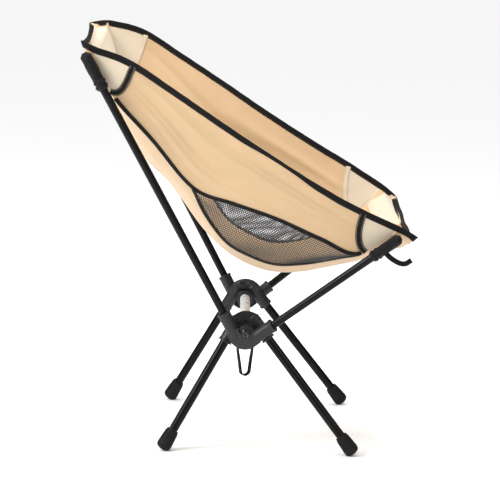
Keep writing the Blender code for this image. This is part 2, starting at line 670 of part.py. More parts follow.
# ---------------------------------------------------------------- assembly
def make_chair():
    clear_scene()
    tube("cross_tube", at(1, (HINGE[0], -TUBE_END, HINGE[1])), at(1, (HINGE[0], TUBE_END, HINGE[1])),
         TUBE_RADIUS, TUBE_BORE, "tube_bright")
    make_carry_loop()
    make_centre_panel()
    make_binding()
    for word, side in SIDES:
        make_leg_hub(word, side)
        make_seat_hub(word, side)
        make_hinge_pin(word, side)
        make_leg("rear", word, side, REAR_LEG_SLOPE)
        make_leg("front", word, side, FRONT_LEG_SLOPE)
        make_back_pole(word, side)
        make_front_pole(word, side)
        make_pocket("back", word, side, BACK_POLE_SLOPE, BACK_TIP_UP)
        make_pocket("front", word, side, FRONT_POLE_SLOPE, FRONT_TIP_UP)
        make_side_panels(word, side)
        make_mesh_panel(word, side)
        make_pull_tab(word, side)


make_chair()
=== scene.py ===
import math

import bmesh
import bpy
import numpy as np
from mathutils import Matrix, Quaternion, Vector, noise


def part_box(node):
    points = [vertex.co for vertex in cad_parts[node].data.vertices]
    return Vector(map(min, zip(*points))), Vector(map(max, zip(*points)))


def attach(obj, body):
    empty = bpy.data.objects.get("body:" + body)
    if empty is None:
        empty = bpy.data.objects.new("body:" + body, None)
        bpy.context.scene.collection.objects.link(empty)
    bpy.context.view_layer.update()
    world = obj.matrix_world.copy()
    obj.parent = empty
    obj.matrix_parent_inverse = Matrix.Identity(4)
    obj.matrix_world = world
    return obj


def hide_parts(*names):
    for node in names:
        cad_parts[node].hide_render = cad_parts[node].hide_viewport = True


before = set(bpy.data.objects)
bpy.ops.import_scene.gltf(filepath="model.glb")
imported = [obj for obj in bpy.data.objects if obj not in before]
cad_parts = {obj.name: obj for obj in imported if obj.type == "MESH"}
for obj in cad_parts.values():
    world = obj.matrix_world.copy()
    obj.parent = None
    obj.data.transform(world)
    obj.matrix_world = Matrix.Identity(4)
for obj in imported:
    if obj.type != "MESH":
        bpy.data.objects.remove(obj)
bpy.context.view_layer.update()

# Places are written as (forward, out, up) in metres, and spot() turns them into the world.
sides = (("left", 1), ("right", -1))
hinge = (0.0025, 0.195)          # forward and up of the axis that the seat folds on
middleY = -0.0026                # the footprint's middle, as in the frame's model


# ---- places and directions
def spot(side, point):
    return Vector((side * point[1], middleY - point[0], point[2]))


def aim(side, slope):
    return Vector((side * slope[1], -slope[0], slope[2])).normalized()


def spanned(first, last, count):
    return [first + (last - first) * k / count for k in range(count + 1)]


def smoothStep(low, high, x):
    t = min(max((x - low) / (high - low), 0.0), 1.0)
    return t * t * (3 - 2 * t)


def curveAt(stations, t):
    # a smooth curve through evenly weighted stations
    last = len(stations) - 1
    place = min(max(t, 0.0), 1.0) * last
    i = min(int(place), last - 1)
    f = place - i
    b, c = np.array(stations[i], float), np.array(stations[i + 1], float)
    a = np.array(stations[i - 1], float) if i > 0 else 2 * b - c
    d = np.array(stations[i + 2], float) if i + 2 <= last else 2 * c - b
    return 0.5 * (2 * b + (c - a) * f + (2 * a - 5 * b + 4 * c - d) * f ** 2
                  + (3 * b - a - 3 * c + d) * f ** 3)


# ---- material nodes
def startMaterial(name, colour, rough, metal=0.0, sheen=0.0, specular=0.5):
    made = bpy.data.materials.new(name)
    made.use_nodes = True
    shader = made.node_tree.nodes["Principled BSDF"]
    shader.inputs["Base Color"].default_value = (*colour, 1)
    shader.inputs["Roughness"].default_value = rough
    shader.inputs["Metallic"].default_value = metal
    shader.inputs["Sheen Weight"].default_value = sheen
    shader.inputs["Specular IOR Level"].default_value = specular
    return made, made.node_tree.nodes, made.node_tree.links, shader


def coordinates(nodes, links, kind, scale=(1, 1, 1), turn=(0, 0, 0)):
    source = nodes.new("ShaderNodeTexCoord")
    mapping = nodes.new("ShaderNodeMapping")
    mapping.inputs["Scale"].default_value = scale
    mapping.inputs["Rotation"].default_value = turn
    links.new(source.outputs[kind], mapping.inputs["Vector"])
    return mapping.outputs["Vector"]


def noiseOn(nodes, links, vector, scale, detail=3.0):
    made = nodes.new("ShaderNodeTexNoise")
    made.inputs["Scale"].default_value = scale
    made.inputs["Detail"].default_value = detail
    links.new(vector, made.inputs["Vector"])
    return made.outputs["Fac"]


def waveOn(nodes, links, vector, direction, pitch, distortion=0.0):
    # a band texture whose bands are one pitch apart along an axis
    made = nodes.new("ShaderNodeTexWave")
    made.bands_direction = direction
    made.inputs["Scale"].default_value = math.pi / 10 / pitch
    made.inputs["Distortion"].default_value = distortion
    links.new(vector, made.inputs["Vector"])
    return made.outputs["Fac"]


def rampOf(nodes, links, value, stops):
    made = nodes.new("ShaderNodeValToRGB")
    ramp = made.color_ramp
    ramp.elements[0].position, ramp.elements[1].position = stops[0][0], stops[-1][0]
    ramp.elements[0].color, ramp.elements[1].color = (*stops[0][1], 1), (*stops[-1][1], 1)
    for place, colour in stops[1:-1]:
        ramp.elements.new(place).color = (*colour, 1)
    links.new(value, made.inputs["Fac"])
    return made.outputs["Color"]


def rangeOf(nodes, links, value, low, high):
    made = nodes.new("ShaderNodeMapRange")
    made.inputs["To Min"].default_value = low
    made.inputs["To Max"].default_value = high
    links.new(value, made.inputs["Value"])
    return made.outputs["Result"]


def mathOf(nodes, links, operation, a, b):
    made = nodes.new("ShaderNodeMath")
    made.operation = operation
    for value, socket in ((a, made.inputs[0]), (b, made.inputs[1])):
        if isinstance(value, (int, float)):
            socket.default_value = value
        else:
            links.new(value, socket)
    return made.outputs[0]


def bumpOn(nodes, links, shader, height, strength, distance):
    made = nodes.new("ShaderNodeBump")
    made.inputs["Strength"].default_value = strength
    made.inputs["Distance"].default_value = distance
    links.new(height, made.inputs["Height"])
    links.new(made.outputs["Normal"], shader.inputs["Normal"])


def shade(colour, factor):
    return tuple(min(c * factor, 1.0) for c in colour)


cloth = {
    "tan": (0.560, 0.388, 0.222),
    "pale": (0.60, 0.51, 0.385),
    "yarn": 0.00045,             # distance between two yarns of the plain weave
}


def wovenCloth(name, colour):
    # plain weave on the piece's own UV map, which is in metres along warp and weft
    made, nodes, links, shader = startMaterial(name, colour, 0.78, sheen=0.22, specular=0.32)
    shader.inputs["Sheen Roughness"].default_value = 0.45
    place = coordinates(nodes, links, "UV")
    warp = waveOn(nodes, links, place, "X", cloth["yarn"])
    weft = waveOn(nodes, links, place, "Y", cloth["yarn"])
    weave = mathOf(nodes, links, "MULTIPLY", warp, weft)
    slub = noiseOn(nodes, links, coordinates(nodes, links, "UV", (1, 6, 1)), 420, 2)
    cloud = noiseOn(nodes, links, place, 14, 4)
    mixed = mathOf(nodes, links, "ADD", mathOf(nodes, links, "MULTIPLY", cloud, 0.6),
                   mathOf(nodes, links, "MULTIPLY", slub, 0.4))
    tint = rampOf(nodes, links, mixed, ((0.30, shade(colour, 0.93)), (0.5, colour),
                                        (0.72, shade(colour, 1.05))))
    links.new(tint, shader.inputs["Base Color"])
    links.new(rangeOf(nodes, links, slub, 0.70, 0.86), shader.inputs["Roughness"])
    grain = mathOf(nodes, links, "ADD", weave, mathOf(nodes, links, "MULTIPLY", slub, 0.7))
    bumpOn(nodes, links, shader, grain, 0.35, 0.00012)
    return made


def webbing(name, colour, rib, gloss):
    # narrow woven tape: ribs run across it, V goes along it in metres
    made, nodes, links, shader = startMaterial(name, colour, gloss, sheen=0.02, specular=0.12)
    place = coordinates(nodes, links, "UV")
    ribs = waveOn(nodes, links, place, "Y", rib)
    edge = waveOn(nodes, links, place, "X", rib * 0.7)
    fuzz = noiseOn(nodes, links, coordinates(nodes, links, "Object"), 900, 2)
    tint = rampOf(nodes, links, mathOf(nodes, links, "MULTIPLY", ribs, fuzz),
                  ((0.0, shade(colour, 0.6)), (0.7, shade(colour, 1.9))))
    links.new(tint, shader.inputs["Base Color"])
    links.new(rangeOf(nodes, links, fuzz, gloss - 0.1, gloss + 0.12), shader.inputs["Roughness"])
    grain = mathOf(nodes, links, "ADD", ribs, mathOf(nodes, links, "MULTIPLY", edge, 0.4))
    bumpOn(nodes, links, shader, grain, 0.5, 0.00025)
    return made


def anodisedTube(name):
    # satin black anodising with faint draw lines along the tube
    made, nodes, links, shader = startMaterial(name, (0.003, 0.003, 0.0033), 0.30, specular=0.16)
    place = coordinates(nodes, links, "UV", (260, 3, 1))
    lines = noiseOn(nodes, links, place, 4, 2)
    wear = noiseOn(nodes, links, coordinates(nodes, links, "Object"), 60, 5)
    tint = rampOf(nodes, links, wear, ((0.35, (0.002, 0.002, 0.0023)), (0.62, (0.003, 0.003, 0.0033)),
                                       (0.80, (0.007, 0.007, 0.0075))))
    links.new(tint, shader.inputs["Base Color"])
    links.new(rangeOf(nodes, links, lines, 0.27, 0.42), shader.inputs["Roughness"])
    bumpOn(nodes, links, shader, lines, 0.06, 0.00005)
    return made


def mouldedNylon(name):
    # glass-filled nylon: fine spark-eroded grain and a soft sheen
    made, nodes, links, shader = startMaterial(name, (0.010, 0.010, 0.011), 0.40, specular=0.42)
    place = coordinates(nodes, links, "Object")
    grain = noiseOn(nodes, links, place, 1700, 2)
    flow = noiseOn(nodes, links, place, 70, 4)
    tint = rampOf(nodes, links, flow, ((0.30, (0.007, 0.007, 0.008)), (0.70, (0.012, 0.012, 0.013))))
    links.new(tint, shader.inputs["Base Color"])
    links.new(rangeOf(nodes, links, flow, 0.38, 0.54), shader.inputs["Roughness"])
    bumpOn(nodes, links, shader, grain, 0.22, 0.0001)
    return made


def drawnMetal(name, colour, rough, metal):
    # drawn tube: fine lines along X
    made, nodes, links, shader = startMaterial(name, colour, rough, metal)
    lines = noiseOn(nodes, links, coordinates(nodes, links, "Object", (4, 900, 900)), 3, 2)
    smudge = noiseOn(nodes, links, coordinates(nodes, links, "Object"), 90, 4)
    mixed = mathOf(nodes, links, "MULTIPLY", lines, smudge)
    links.new(rangeOf(nodes, links, mixed, rough * 0.6, rough * 2.0), shader.inputs["Roughness"])
    tint = rampOf(nodes, links, smudge, ((0.3, shade(colour, 0.92)), (0.7, colour)))
    links.new(tint, shader.inputs["Base Color"])
    bumpOn(nodes, links, shader, lines, 0.05, 0.00005)
    return made


def footRubber(name):
    made, nodes, links, shader = startMaterial(name, (0.007, 0.007, 0.008), 0.62, specular=0.2)
    place = coordinates(nodes, links, "Object")
    speckle = noiseOn(nodes, links, place, 1200, 3)
    dust = noiseOn(nodes, links, place, 80, 5)
    tint = rampOf(nodes, links, dust, ((0.35, (0.005, 0.005, 0.006)), (0.75, (0.012, 0.011, 0.011))))
    links.new(tint, shader.inputs["Base Color"])
    links.new(rangeOf(nodes, links, dust, 0.52, 0.74), shader.inputs["Roughness"])
    bumpOn(nodes, links, shader, speckle, 0.3, 0.00012)
    return made


def sewingThread(name, colour):
    made, nodes, links, shader = startMaterial(name, colour, 0.6, sheen=0.2)
    twist = noiseOn(nodes, links, coordinates(nodes, links, "Object"), 2600, 1)
    tint = rampOf(nodes, links, twist, ((0.3, shade(colour, 0.75)), (0.7, shade(colour, 1.1))))
    links.new(tint, shader.inputs["Base Color"])
    bumpOn(nodes, links, shader, twist, 0.4, 0.0001)
    return made


tanCloth = wovenCloth("tanCloth", cloth["tan"])
paleCloth = wovenCloth("paleCloth", cloth["pale"])
blackTape = webbing("blackTape", (0.0055, 0.0050, 0.0048), 0.0011, 0.66)
blackSleeve = webbing("blackSleeve", (0.007, 0.007, 0.008), 0.0006, 0.36)
netYarn = sewingThread("netYarn", (0.018, 0.015, 0.014))
creamThread = sewingThread("creamThread", (0.68, 0.58, 0.42))
tanThread = sewingThread("tanThread", (0.40, 0.27, 0.13))
blackThread = sewingThread("blackThread", (0.040, 0.037, 0.036))
tubeBlack = anodisedTube("tubeBlack")
hubNylon = mouldedNylon("hubNylon")
crossTubeMetal = drawnMetal("crossTubeMetal", (0.92, 0.92, 0.94), 0.30, 0.25)
pinMetal = drawnMetal("pinMetal", (0.045, 0.045, 0.048), 0.26, 1.0)
feetRubber = footRubber("feetRubber")
elasticCord = webbing("elasticCord", (0.09, 0.09, 0.10), 0.0008, 0.7)
print("materials made")


# ---- building pieces
def pieceFrom(name, points, faces, material, uvs=None, smooth=True):
    mesh = bpy.data.meshes.new(name)
    mesh.from_pydata([tuple(p) for p in points], [], faces)
    if uvs is not None:
        layer = mesh.uv_layers.new(name="UVMap")
        for loop in mesh.loops:
            layer.data[loop.index].uv = uvs[loop.vertex_index]
    return pieceOf(name, mesh, material, smooth)


def pieceOf(name, mesh, material, smooth=True):
    if not mesh.materials:
        mesh.materials.append(material)
    if smooth:
        mesh.shade_smooth()
    piece = bpy.data.objects.new(name, mesh)
    bpy.context.scene.collection.objects.link(piece)
    return piece


def outwards(piece):
    # merges doubles and turns the faces of a closed mesh outwards
    work = bmesh.new()
    work.from_mesh(piece.data)
    bmesh.ops.remove_doubles(work, verts=work.verts, dist=1e-7)
    bmesh.ops.recalc_face_normals(work, faces=work.faces)
    work.to_mesh(piece.data)
    work.free()
    return piece


def applied(piece):
    # the evaluated mesh becomes the piece's own, and its modifiers go
    bpy.context.view_layer.update()
    seen = piece.evaluated_get(bpy.context.evaluated_depsgraph_get())
    mesh = bpy.data.meshes.new_from_object(seen)
    mesh.transform(piece.matrix_world)
    piece.modifiers.clear()
    piece.data = mesh
    piece.matrix_world = Matrix.Identity(4)
    return piece


def settle(piece, body, slotName, *nodes):
    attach(piece, body)
    if nodes:
        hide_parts(*nodes)


def frameAlong(start, direction, side=None):
    # a placing matrix whose Z runs along a direction
    turn = Vector((0, 0, 1)).rotation_difference(Vector(direction)).to_matrix().to_4x4()
    if side is not None:
        z = Vector(direction).normalized()
        x = (Vector(side) - z * Vector(side).dot(z)).normalized()
        turn = Matrix((x, z.cross(x), z)).transposed().to_4x4()
    return Matrix.Translation(start) @ turn


def turnedMesh(profile, count=48, closed=False, place=None, oval=(1, 1), wave=None):
    # turns a (up, radius) profile about Z; UV: U round it, V along it, both in metres
    points, faces, uvs = [], [], []
    rows = len(profile)
    for row, (up, radius) in enumerate(profile):
        for k in range(count):
            angle = 2 * math.pi * k / count
            reach = radius + (wave(up, angle) if wave else 0.0)
            points.append(Vector((oval[0] * reach * math.cos(angle),
                                  oval[1] * reach * math.sin(angle), up)))
            uvs.append((k / count * 2 * math.pi * max(radius, 0.004), up))
    for row in range(rows if closed else rows - 1):
        after = (row + 1) % rows
        for k in range(count):
            k2 = (k + 1) % count
            faces.append((row * count + k, row * count + k2, after * count + k2, after * count + k))
    if not closed:
        faces.append(tuple(reversed(range(count))))
        faces.append(tuple((rows - 1) * count + k for k in range(count)))
    if place is not None:
        points = [place @ p for p in points]
    return points, faces, uvs


def turnedPiece(name, profile, material, place, count=48, closed=False, oval=(1, 1), wave=None,
                sharp=None):
    points, faces, uvs = turnedMesh(profile, count, closed, place, oval, wave)
    piece = outwards(pieceFrom(name, points, faces, material, uvs))
    piece.data.set_sharp_from_angle(angle=math.radians(sharp or 40))
    return piece


def tubeProfile(length, radius, bore, edge=0.0005):
    # a hollow tube with eased ends
    return ((edge, bore), (0.0, bore + edge), (0.0, radius - edge), (edge, radius),
            (length - edge, radius), (length, radius - edge), (length, bore + edge),
            (length - edge, bore))


def sweptPiece(name, path, material, closedPath=False):
    # path: (centre, list of section points) pairs; UV: U across in metres, V along in metres
    points, uvs, faces = [], [], []
    count, ring = len(path), len(path[0][1])
    travelled = 0.0
    for k, (centre, section) in enumerate(path):
        if k:
            travelled += (Vector(centre) - Vector(path[k - 1][0])).length
        across = 0.0
        for c, p in enumerate(section):
            if c:
                across += (Vector(p) - Vector(section[c - 1])).length
            points.append(Vector(p))
            uvs.append((across, travelled))
    for k in range(count if closedPath else count - 1):
        k2 = (k + 1) % count
        for c in range(ring):
            c2 = (c + 1) % ring
            faces.append((k * ring + c, k * ring + c2, k2 * ring + c2, k2 * ring + c))
    if not closedPath:
        faces.append(tuple(reversed(range(ring))))
        faces.append(tuple((count - 1) * ring + c for c in range(ring)))
    return outwards(pieceFrom(name, points, faces, material, uvs))


def tapeSection(centre, across, normal, width, thick, rounds=3):
    # a flat section with rounded edges
    centre, across, normal = Vector(centre), Vector(across), Vector(normal)
    half, edge = width / 2 - thick / 2, thick / 2
    section = []
    for sign in (1, -1):
        for k in range(rounds + 1):
            angle = math.pi * k / rounds - math.pi / 2
            section.append(centre + across * (sign * (half + edge * math.cos(angle)))
                           + normal * (sign * edge * math.sin(angle)))
    return section


# ---- stitches, net and ribs: Geometry Nodes
def newTree(name, inputs):
    tree = bpy.data.node_groups.new(name, "GeometryNodeTree")
    tree.interface.new_socket("Geometry", in_out="INPUT", socket_type="NodeSocketGeometry")
    for title, value in inputs:
        kind = "NodeSocketInt" if isinstance(value, int) else "NodeSocketFloat"
        tree.interface.new_socket(title, in_out="INPUT", socket_type=kind).default_value = value
    tree.interface.new_socket("Geometry", in_out="OUTPUT", socket_type="NodeSocketGeometry")
    return tree, tree.nodes.new("NodeGroupInput"), tree.nodes.new("NodeGroupOutput")


def runTree(piece, tree, values):
    # sets the named inputs by their identifiers, evaluates once and keeps a plain mesh
    made = piece.modifiers.new(tree.name, "NODES")
    made.node_group = tree
    for item in tree.interface.items_tree:
        if item.item_type == "SOCKET" and item.in_out == "INPUT" and item.name in values:
            made[item.identifier] = values[item.name]
    return applied(piece)


def wire(tree, *rows):
    # each row: a node and its output, then a node and its input
    for source, output, target, entry in rows:
        tree.links.new(source.outputs[output], target.inputs[entry])


def closeTree(tree, source, output, end, material):
    realize = tree.nodes.new("GeometryNodeRealizeInstances")
    paint = tree.nodes.new("GeometryNodeSetMaterial")
    paint.inputs["Material"].default_value = material
    wire(tree, (source, output, realize, "Geometry"), (realize, "Geometry", paint, "Geometry"),
         (paint, "Geometry", end, "Geometry"))
    return tree


def stitchTree(material):
    # one small thread loop at each step along every line
    tree, start, end = newTree("stitches " + material.name,
                               (("Pitch", 0.0035), ("Length", 0.0024), ("Thickness", 0.0006)))
    add = tree.nodes.new
    curve = add("GeometryNodeMeshToCurve")
    even = add("GeometryNodeResampleCurve")
    even.mode = "LENGTH"
    tangent = add("GeometryNodeInputTangent")
    align = add("FunctionNodeAlignRotationToVector")
    align.axis = "X"
    thread = add("GeometryNodeMeshUVSphere")
    thread.inputs["Segments"].default_value = 6
    thread.inputs["Rings"].default_value = 4
    thread.inputs["Radius"].default_value = 0.5
    size = add("ShaderNodeCombineXYZ")
    onPoints = add("GeometryNodeInstanceOnPoints")
    wire(tree, (start, "Geometry", curve, "Mesh"), (curve, "Curve", even, "Curve"),
         (start, "Pitch", even, "Length"), (even, "Curve", onPoints, "Points"),
         (tangent, "Tangent", align, "Vector"), (align, "Rotation", onPoints, "Rotation"),
         (start, "Length", size, "X"), (start, "Thickness", size, "Y"),
         (start, "Thickness", size, "Z"), (size, "Vector", onPoints, "Scale"),
         (thread, "Mesh", onPoints, "Instance"))
    return closeTree(tree, onPoints, "Instances", end, material)


def netTree(material):
    # the dual of a triangle lattice is a honeycomb, and each of its edges gets a yarn
    tree, start, end = newTree("netting", (("Yarn Radius", 0.0003),))
    add = tree.nodes.new
    dual = add("GeometryNodeDualMesh")
    curve = add("GeometryNodeMeshToCurve")
    profile = add("GeometryNodeCurvePrimitiveCircle")
    profile.inputs["Resolution"].default_value = 3
    sweep = add("GeometryNodeCurveToMesh")
    sweep.inputs["Fill Caps"].default_value = True
    wire(tree, (start, "Geometry", dual, "Mesh"), (dual, "Dual Mesh", curve, "Mesh"),
         (curve, "Curve", sweep, "Curve"), (start, "Yarn Radius", profile, "Radius"),
         (profile, "Curve", sweep, "Profile Curve"))
    return closeTree(tree, sweep, "Mesh", end, material)


def ribTree(material):
    # joins raised ribs, spaced round the Z axis, to the cap they stand on
    tree, start, end = newTree("foot ribs", (("Ribs", 14), ("Top Radius", 0.0102),
                               ("Bottom Radius", 0.0114), ("Top", 0.021), ("Bottom", 0.002),
                               ("Rib Radius", 0.001)))
    add = tree.nodes.new
    ring = add("GeometryNodeMeshCircle")
    ring.inputs["Radius"].default_value = 0.0
    index = add("GeometryNodeInputIndex")
    turn, around = add("ShaderNodeMath"), add("ShaderNodeMath")
    turn.operation, around.operation = "DIVIDE", "MULTIPLY"
    around.inputs[1].default_value = 2 * math.pi
    euler, high, low = (add("ShaderNodeCombineXYZ") for _ in range(3))
    rod = add("GeometryNodeCurvePrimitiveLine")
    profile = add("GeometryNodeCurvePrimitiveCircle")
    profile.inputs["Resolution"].default_value = 8
    sweep = add("GeometryNodeCurveToMesh")
    sweep.inputs["Fill Caps"].default_value = True
    onPoints = add("GeometryNodeInstanceOnPoints")
    join = add("GeometryNodeJoinGeometry")
    wire(tree, (start, "Ribs", ring, "Vertices"), (index, "Index", turn, 0), (start, "Ribs", turn, 1),
         (turn, 0, around, 0), (around, 0, euler, "Z"),
         (start, "Top Radius", high, "X"), (start, "Top", high, "Z"),
         (start, "Bottom Radius", low, "X"), (start, "Bottom", low, "Z"),
         (high, "Vector", rod, "Start"), (low, "Vector", rod, "End"), (rod, "Curve", sweep, "Curve"),
         (start, "Rib Radius", profile, "Radius"), (profile, "Curve", sweep, "Profile Curve"),
         (ring, "Mesh", onPoints, "Points"), (sweep, "Mesh", onPoints, "Instance"),
         (euler, "Vector", onPoints, "Rotation"), (onPoints, "Instances", join, "Geometry"),
         (start, "Geometry", join, "Geometry"))
    return closeTree(tree, join, "Geometry", end, material)


trees = {"cream": stitchTree(creamThread), "tan": stitchTree(tanThread),
         "black": stitchTree(blackThread), "net": netTree(netYarn), "ribs": ribTree(feetRubber)}


def stitchLines(name, lines, colour, slotName, pitch=0.0038, length=0.0026, thick=0.0007):
    # lines: lists of points that lie just above the cloth
    mesh = bpy.data.meshes.new(name)
    points, edges = [], []
    for line in lines:
        first = len(points)
        points += [tuple(p) for p in line]
        edges += [(first + k, first + k + 1) for k in range(len(line) - 1)]
    mesh.from_pydata(points, edges, [])
    piece = bpy.data.objects.new(name, mesh)
    bpy.context.scene.collection.objects.link(piece)
    runTree(piece, trees[colour], {"Pitch": pitch, "Length": length, "Thickness": thick})
    piece.data.shade_smooth()
    settle(piece, "seat", slotName)


# ---- camera
cameraPlace = {
    "location": (-3.8395, 0.0325, 0.8635),
    "yaw": 0.01099, "pitch": 0.14523, "roll": 0.03183,
    "lens": 166.15, "sensor": 36.0, "clip": 60,
}


def makeCamera():
    c = cameraPlace
    forward = Vector((math.cos(c["yaw"]) * math.cos(c["pitch"]),
                      -math.sin(c["yaw"]) * math.cos(c["pitch"]), -math.sin(c["pitch"])))
    camera = bpy.data.objects.new("camera", bpy.data.cameras.new("camera"))
    camera.data.lens, camera.data.sensor_width = c["lens"], c["sensor"]
    camera.data.clip_end = c["clip"]
    camera.location = c["location"]
    camera.rotation_mode = "QUATERNION"
    camera.rotation_quaternion = (forward.to_track_quat("-Z", "Y")
                                  @ Quaternion((0, 0, 1), c["roll"]))
    bpy.context.scene.collection.objects.link(camera)
    bpy.context.scene.camera = camera


makeCamera()

# ---- frame: tubes
tubes = {
    "legRadius": 0.00725, "legBore": 0.0063,
    "poleRadius": 0.00635, "poleBore": 0.0055,
    "crossRadius": 0.0085, "crossBore": 0.0074,
}
legCrossing = (0.0, 0.156, 0.231)          # where the two leg axes of one side cross
seatCrossing = (-0.0035, 0.184, 0.171)     # where the two pole axes of one side cross
legSlopes = {"rear": (-0.5565, 0.19, -1.0), "front": (0.806, 0.19, -1.0)}
poleSlopes = {"back": (-0.555, 0.13, 1.0), "front": (1.258, 0.339, 1.0)}
legEndUp = {"rear": 0.0106, "front": 0.0108}
poleTipUp = {"back": 0.631, "front": 0.3595}
ferruleUp = 0.418
armLength = 0.065                          # from a crossing to the end of a hub's sleeve
socketDepth = 0.030
gap = 0.0003


def onAxis(crossing, slope, up):
    rise = (up - crossing[2]) / slope[2]
    return tuple(crossing[i] + slope[i] * rise for i in range(3))


def makeTube(name, start, end, radius, bore, material, body, slotName, node):
    profile = tubeProfile((end - start).length, radius, bore)
    piece = turnedPiece(name, profile, material, frameAlong(start, end - start), 48, closed=True)
    settle(piece, body, slotName, node)


def makeTubes(word, side):
    insert = armLength - socketDepth + 2 * gap
    for place, slope in legSlopes.items():
        arm = aim(side, slope)
        start = spot(side, legCrossing) + arm * insert
        end = spot(side, onAxis(legCrossing, slope, legEndUp[place]))
        makeTube("legTube_%s_%s" % (place, word), start, end, tubes["legRadius"], tubes["legBore"],
                 tubeBlack, "leg_%s_%s_body" % (place, word), "frame_black",
                 "leg_%s_%s" % (place, word))
    origin = spot(side, seatCrossing)
    backArm, frontArm = aim(side, poleSlopes["back"]), aim(side, poleSlopes["front"])
    joint = spot(side, onAxis(seatCrossing, poleSlopes["back"], ferruleUp))
    backTip = spot(side, onAxis(seatCrossing, poleSlopes["back"], poleTipUp["back"]))
    frontTip = spot(side, onAxis(seatCrossing, poleSlopes["front"], poleTipUp["front"]))
    radius, bore = tubes["poleRadius"], tubes["poleBore"]
    makeTube("backPoleLower_" + word, origin + backArm * insert, joint - backArm * gap / 2,
             radius, bore, tubeBlack, "seat", "frame_black", "back_pole_lower_" + word)
    makeTube("backPoleUpper_" + word, joint + backArm * gap / 2, backTip,
             radius, bore, tubeBlack, "seat", "frame_black", "back_pole_upper_" + word)
    makeTube("frontPole_" + word, origin + frontArm * insert, frontTip,
             radius, bore, tubeBlack, "seat", "frame_black", "front_pole_" + word)


def makeCrossTube():
    low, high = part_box("cross_tube")
    start = Vector((low.x, (low.y + high.y) / 2, (low.z + high.z) / 2))
    end = Vector((high.x, start.y, start.z))
    makeTube("crossTube", start, end, tubes["crossRadius"], tubes["crossBore"], crossTubeMetal,
             "frame", "tube_bright", "cross_tube")


makeCrossTube()
for word, side in sides:
    makeTubes(word, side)
print("tubes made")

# ---- hubs and pins
hub = {
    "armHalf": 0.0105, "half": 0.009, "sleeveStart": 0.020,
    "plateShort": 0.033,                    # how far the flat V stops short of the sleeves' mouths
    "crotchRound": 0.005, "seatStep": 0.0006,
    "rimLength": 0.0032, "rimProud": 0.0009, "rimSlope": 0.001, "rimEdge": 0.0006,
    "mouthEdge": 0.0007,
    "voxel": 0.00065, "smoothing": 7,
    # discs on the hinge axis: radius, where each starts and ends, and its eased edge
    "tongue": {"radius": 0.0122, "start": 0.1770, "face": 0.1915, "edge": 0.0012},
    "washer": {"radius": 0.0074, "start": 0.1850, "face": 0.1962, "edge": 0.0008},
    "collar": {"radius": 0.0140, "face": 0.1362, "edge": 0.0008, "end": 0.158,
               "neck": 0.0125, "neckEnd": 0.1763, "tubeEnd": 0.1478},
    "pocketRadius": 0.0168, "pocketDepth": 0.0065,
    "seatBore": (0.160, 0.220), "legBore": (0.120, 0.200),      # from and to along the axis
    "window": ((-0.011, -0.0035), (0.011, -0.0035), (0.0045, -0.0125), (-0.0045, -0.0125)),
    "windowDepth": (-0.02, 0.0085),
    "webReach": 0.043, "webDown": 0.008, "web": (0.001, 0.0075),    # plate between the arms
}
pin = {
    "radius": 0.004, "headRadius": 0.0062, "headFace": 0.1990, "inner": 0.1505, "point": 0.0005,
    # the domed head and its dish: how far out, how much less than the head's radius
    "head": ((0.0, 0.0003), (0.0004, 0.0), (0.0016, 0.0), (0.0026, 0.0012), (0.0029, 0.0024),
             (0.0023, 0.0030), (0.0021, 0.0040)),
    "dish": 0.0024,
}


def hubAxes(side, crossing, slopes):
    origin = spot(side, crossing)
    arms = [aim(side, slope) for slope in slopes]
    normal = arms[0].cross(arms[1]).normalized()
    if normal.x * side < 0:
        normal.negate()
    return origin, arms, normal


def hubOutline(origin, arms, normal, centre, half, reach):
    # V outline: two straight arms joined by a round back about the hinge axis
    def outside(arm, other):
        away = arm.cross(normal)
        return away if away.dot(other) < 0 else -away

    outer = [outside(arms[0], arms[1]), outside(arms[1], arms[0])]
    gaps = [(origin - centre).dot(o) + half for o in outer]
    arc = []
    for f in spanned(0.0, 1.0, 20):
        arc.append(centre + outer[0].slerp(outer[1], f) * (gaps[0] + (gaps[1] - gaps[0]) * f))
    bisector = (arms[0] + arms[1]).normalized()
    crotch = origin + bisector * (half / math.sin(arms[0].angle(arms[1]) / 2))
    inner = []
    for f in spanned(0.0, 1.0, 5):
        # the inside corner is eased with a small round
        a, b = crotch + arms[1] * hub["crotchRound"], crotch + arms[0] * hub["crotchRound"]
        inner.append((a * (1 - f) ** 2 + crotch * (2 * f * (1 - f)) + b * f ** 2))
    ends = [origin + arm * reach for arm in arms]
    return ([ends[0] + outer[0] * half] + arc + [ends[1] + outer[1] * half,
            ends[1] - outer[1] * half] + inner + [ends[0] - outer[0] * half])


def prismOf(name, outline, normal, low, high):
    count = len(outline)
    points = [p + normal * low for p in outline] + [p + normal * high for p in outline]
    faces = [tuple(reversed(range(count))), tuple(range(count, 2 * count))]
    faces += [(k, (k + 1) % count, count + (k + 1) % count, count + k) for k in range(count)]
    return outwards(pieceFrom(name, points, faces, hubNylon, smooth=False))


def joined(name, pieces):
    work = bmesh.new()
    for piece in pieces:
        work.from_mesh(piece.data)
        bpy.data.objects.remove(piece, do_unlink=True)
    mesh = bpy.data.meshes.new(name)
    work.to_mesh(mesh)
    work.free()
    return pieceOf(name, mesh, hubNylon)


def sleeveProfile(rodRadius):
    # solid from the crossing to the socket, then a hollow sleeve with a rim at its mouth
    half, rim, edge, ease = (hub[k] for k in ("armHalf", "rimProud", "rimEdge", "mouthEdge"))
    mouth, floor = armLength, armLength - socketDepth
    bore = rodRadius + gap
    start, rimStart = hub["sleeveStart"], mouth - hub["rimLength"]
    return ((start, 0.0), (start, half), (rimStart - hub["rimSlope"], half),
            (rimStart, half + rim), (mouth - edge, half + rim), (mouth, half + rim - edge),
            (mouth, bore + ease), (mouth - ease, bore), (floor, bore), (floor, 0.0))


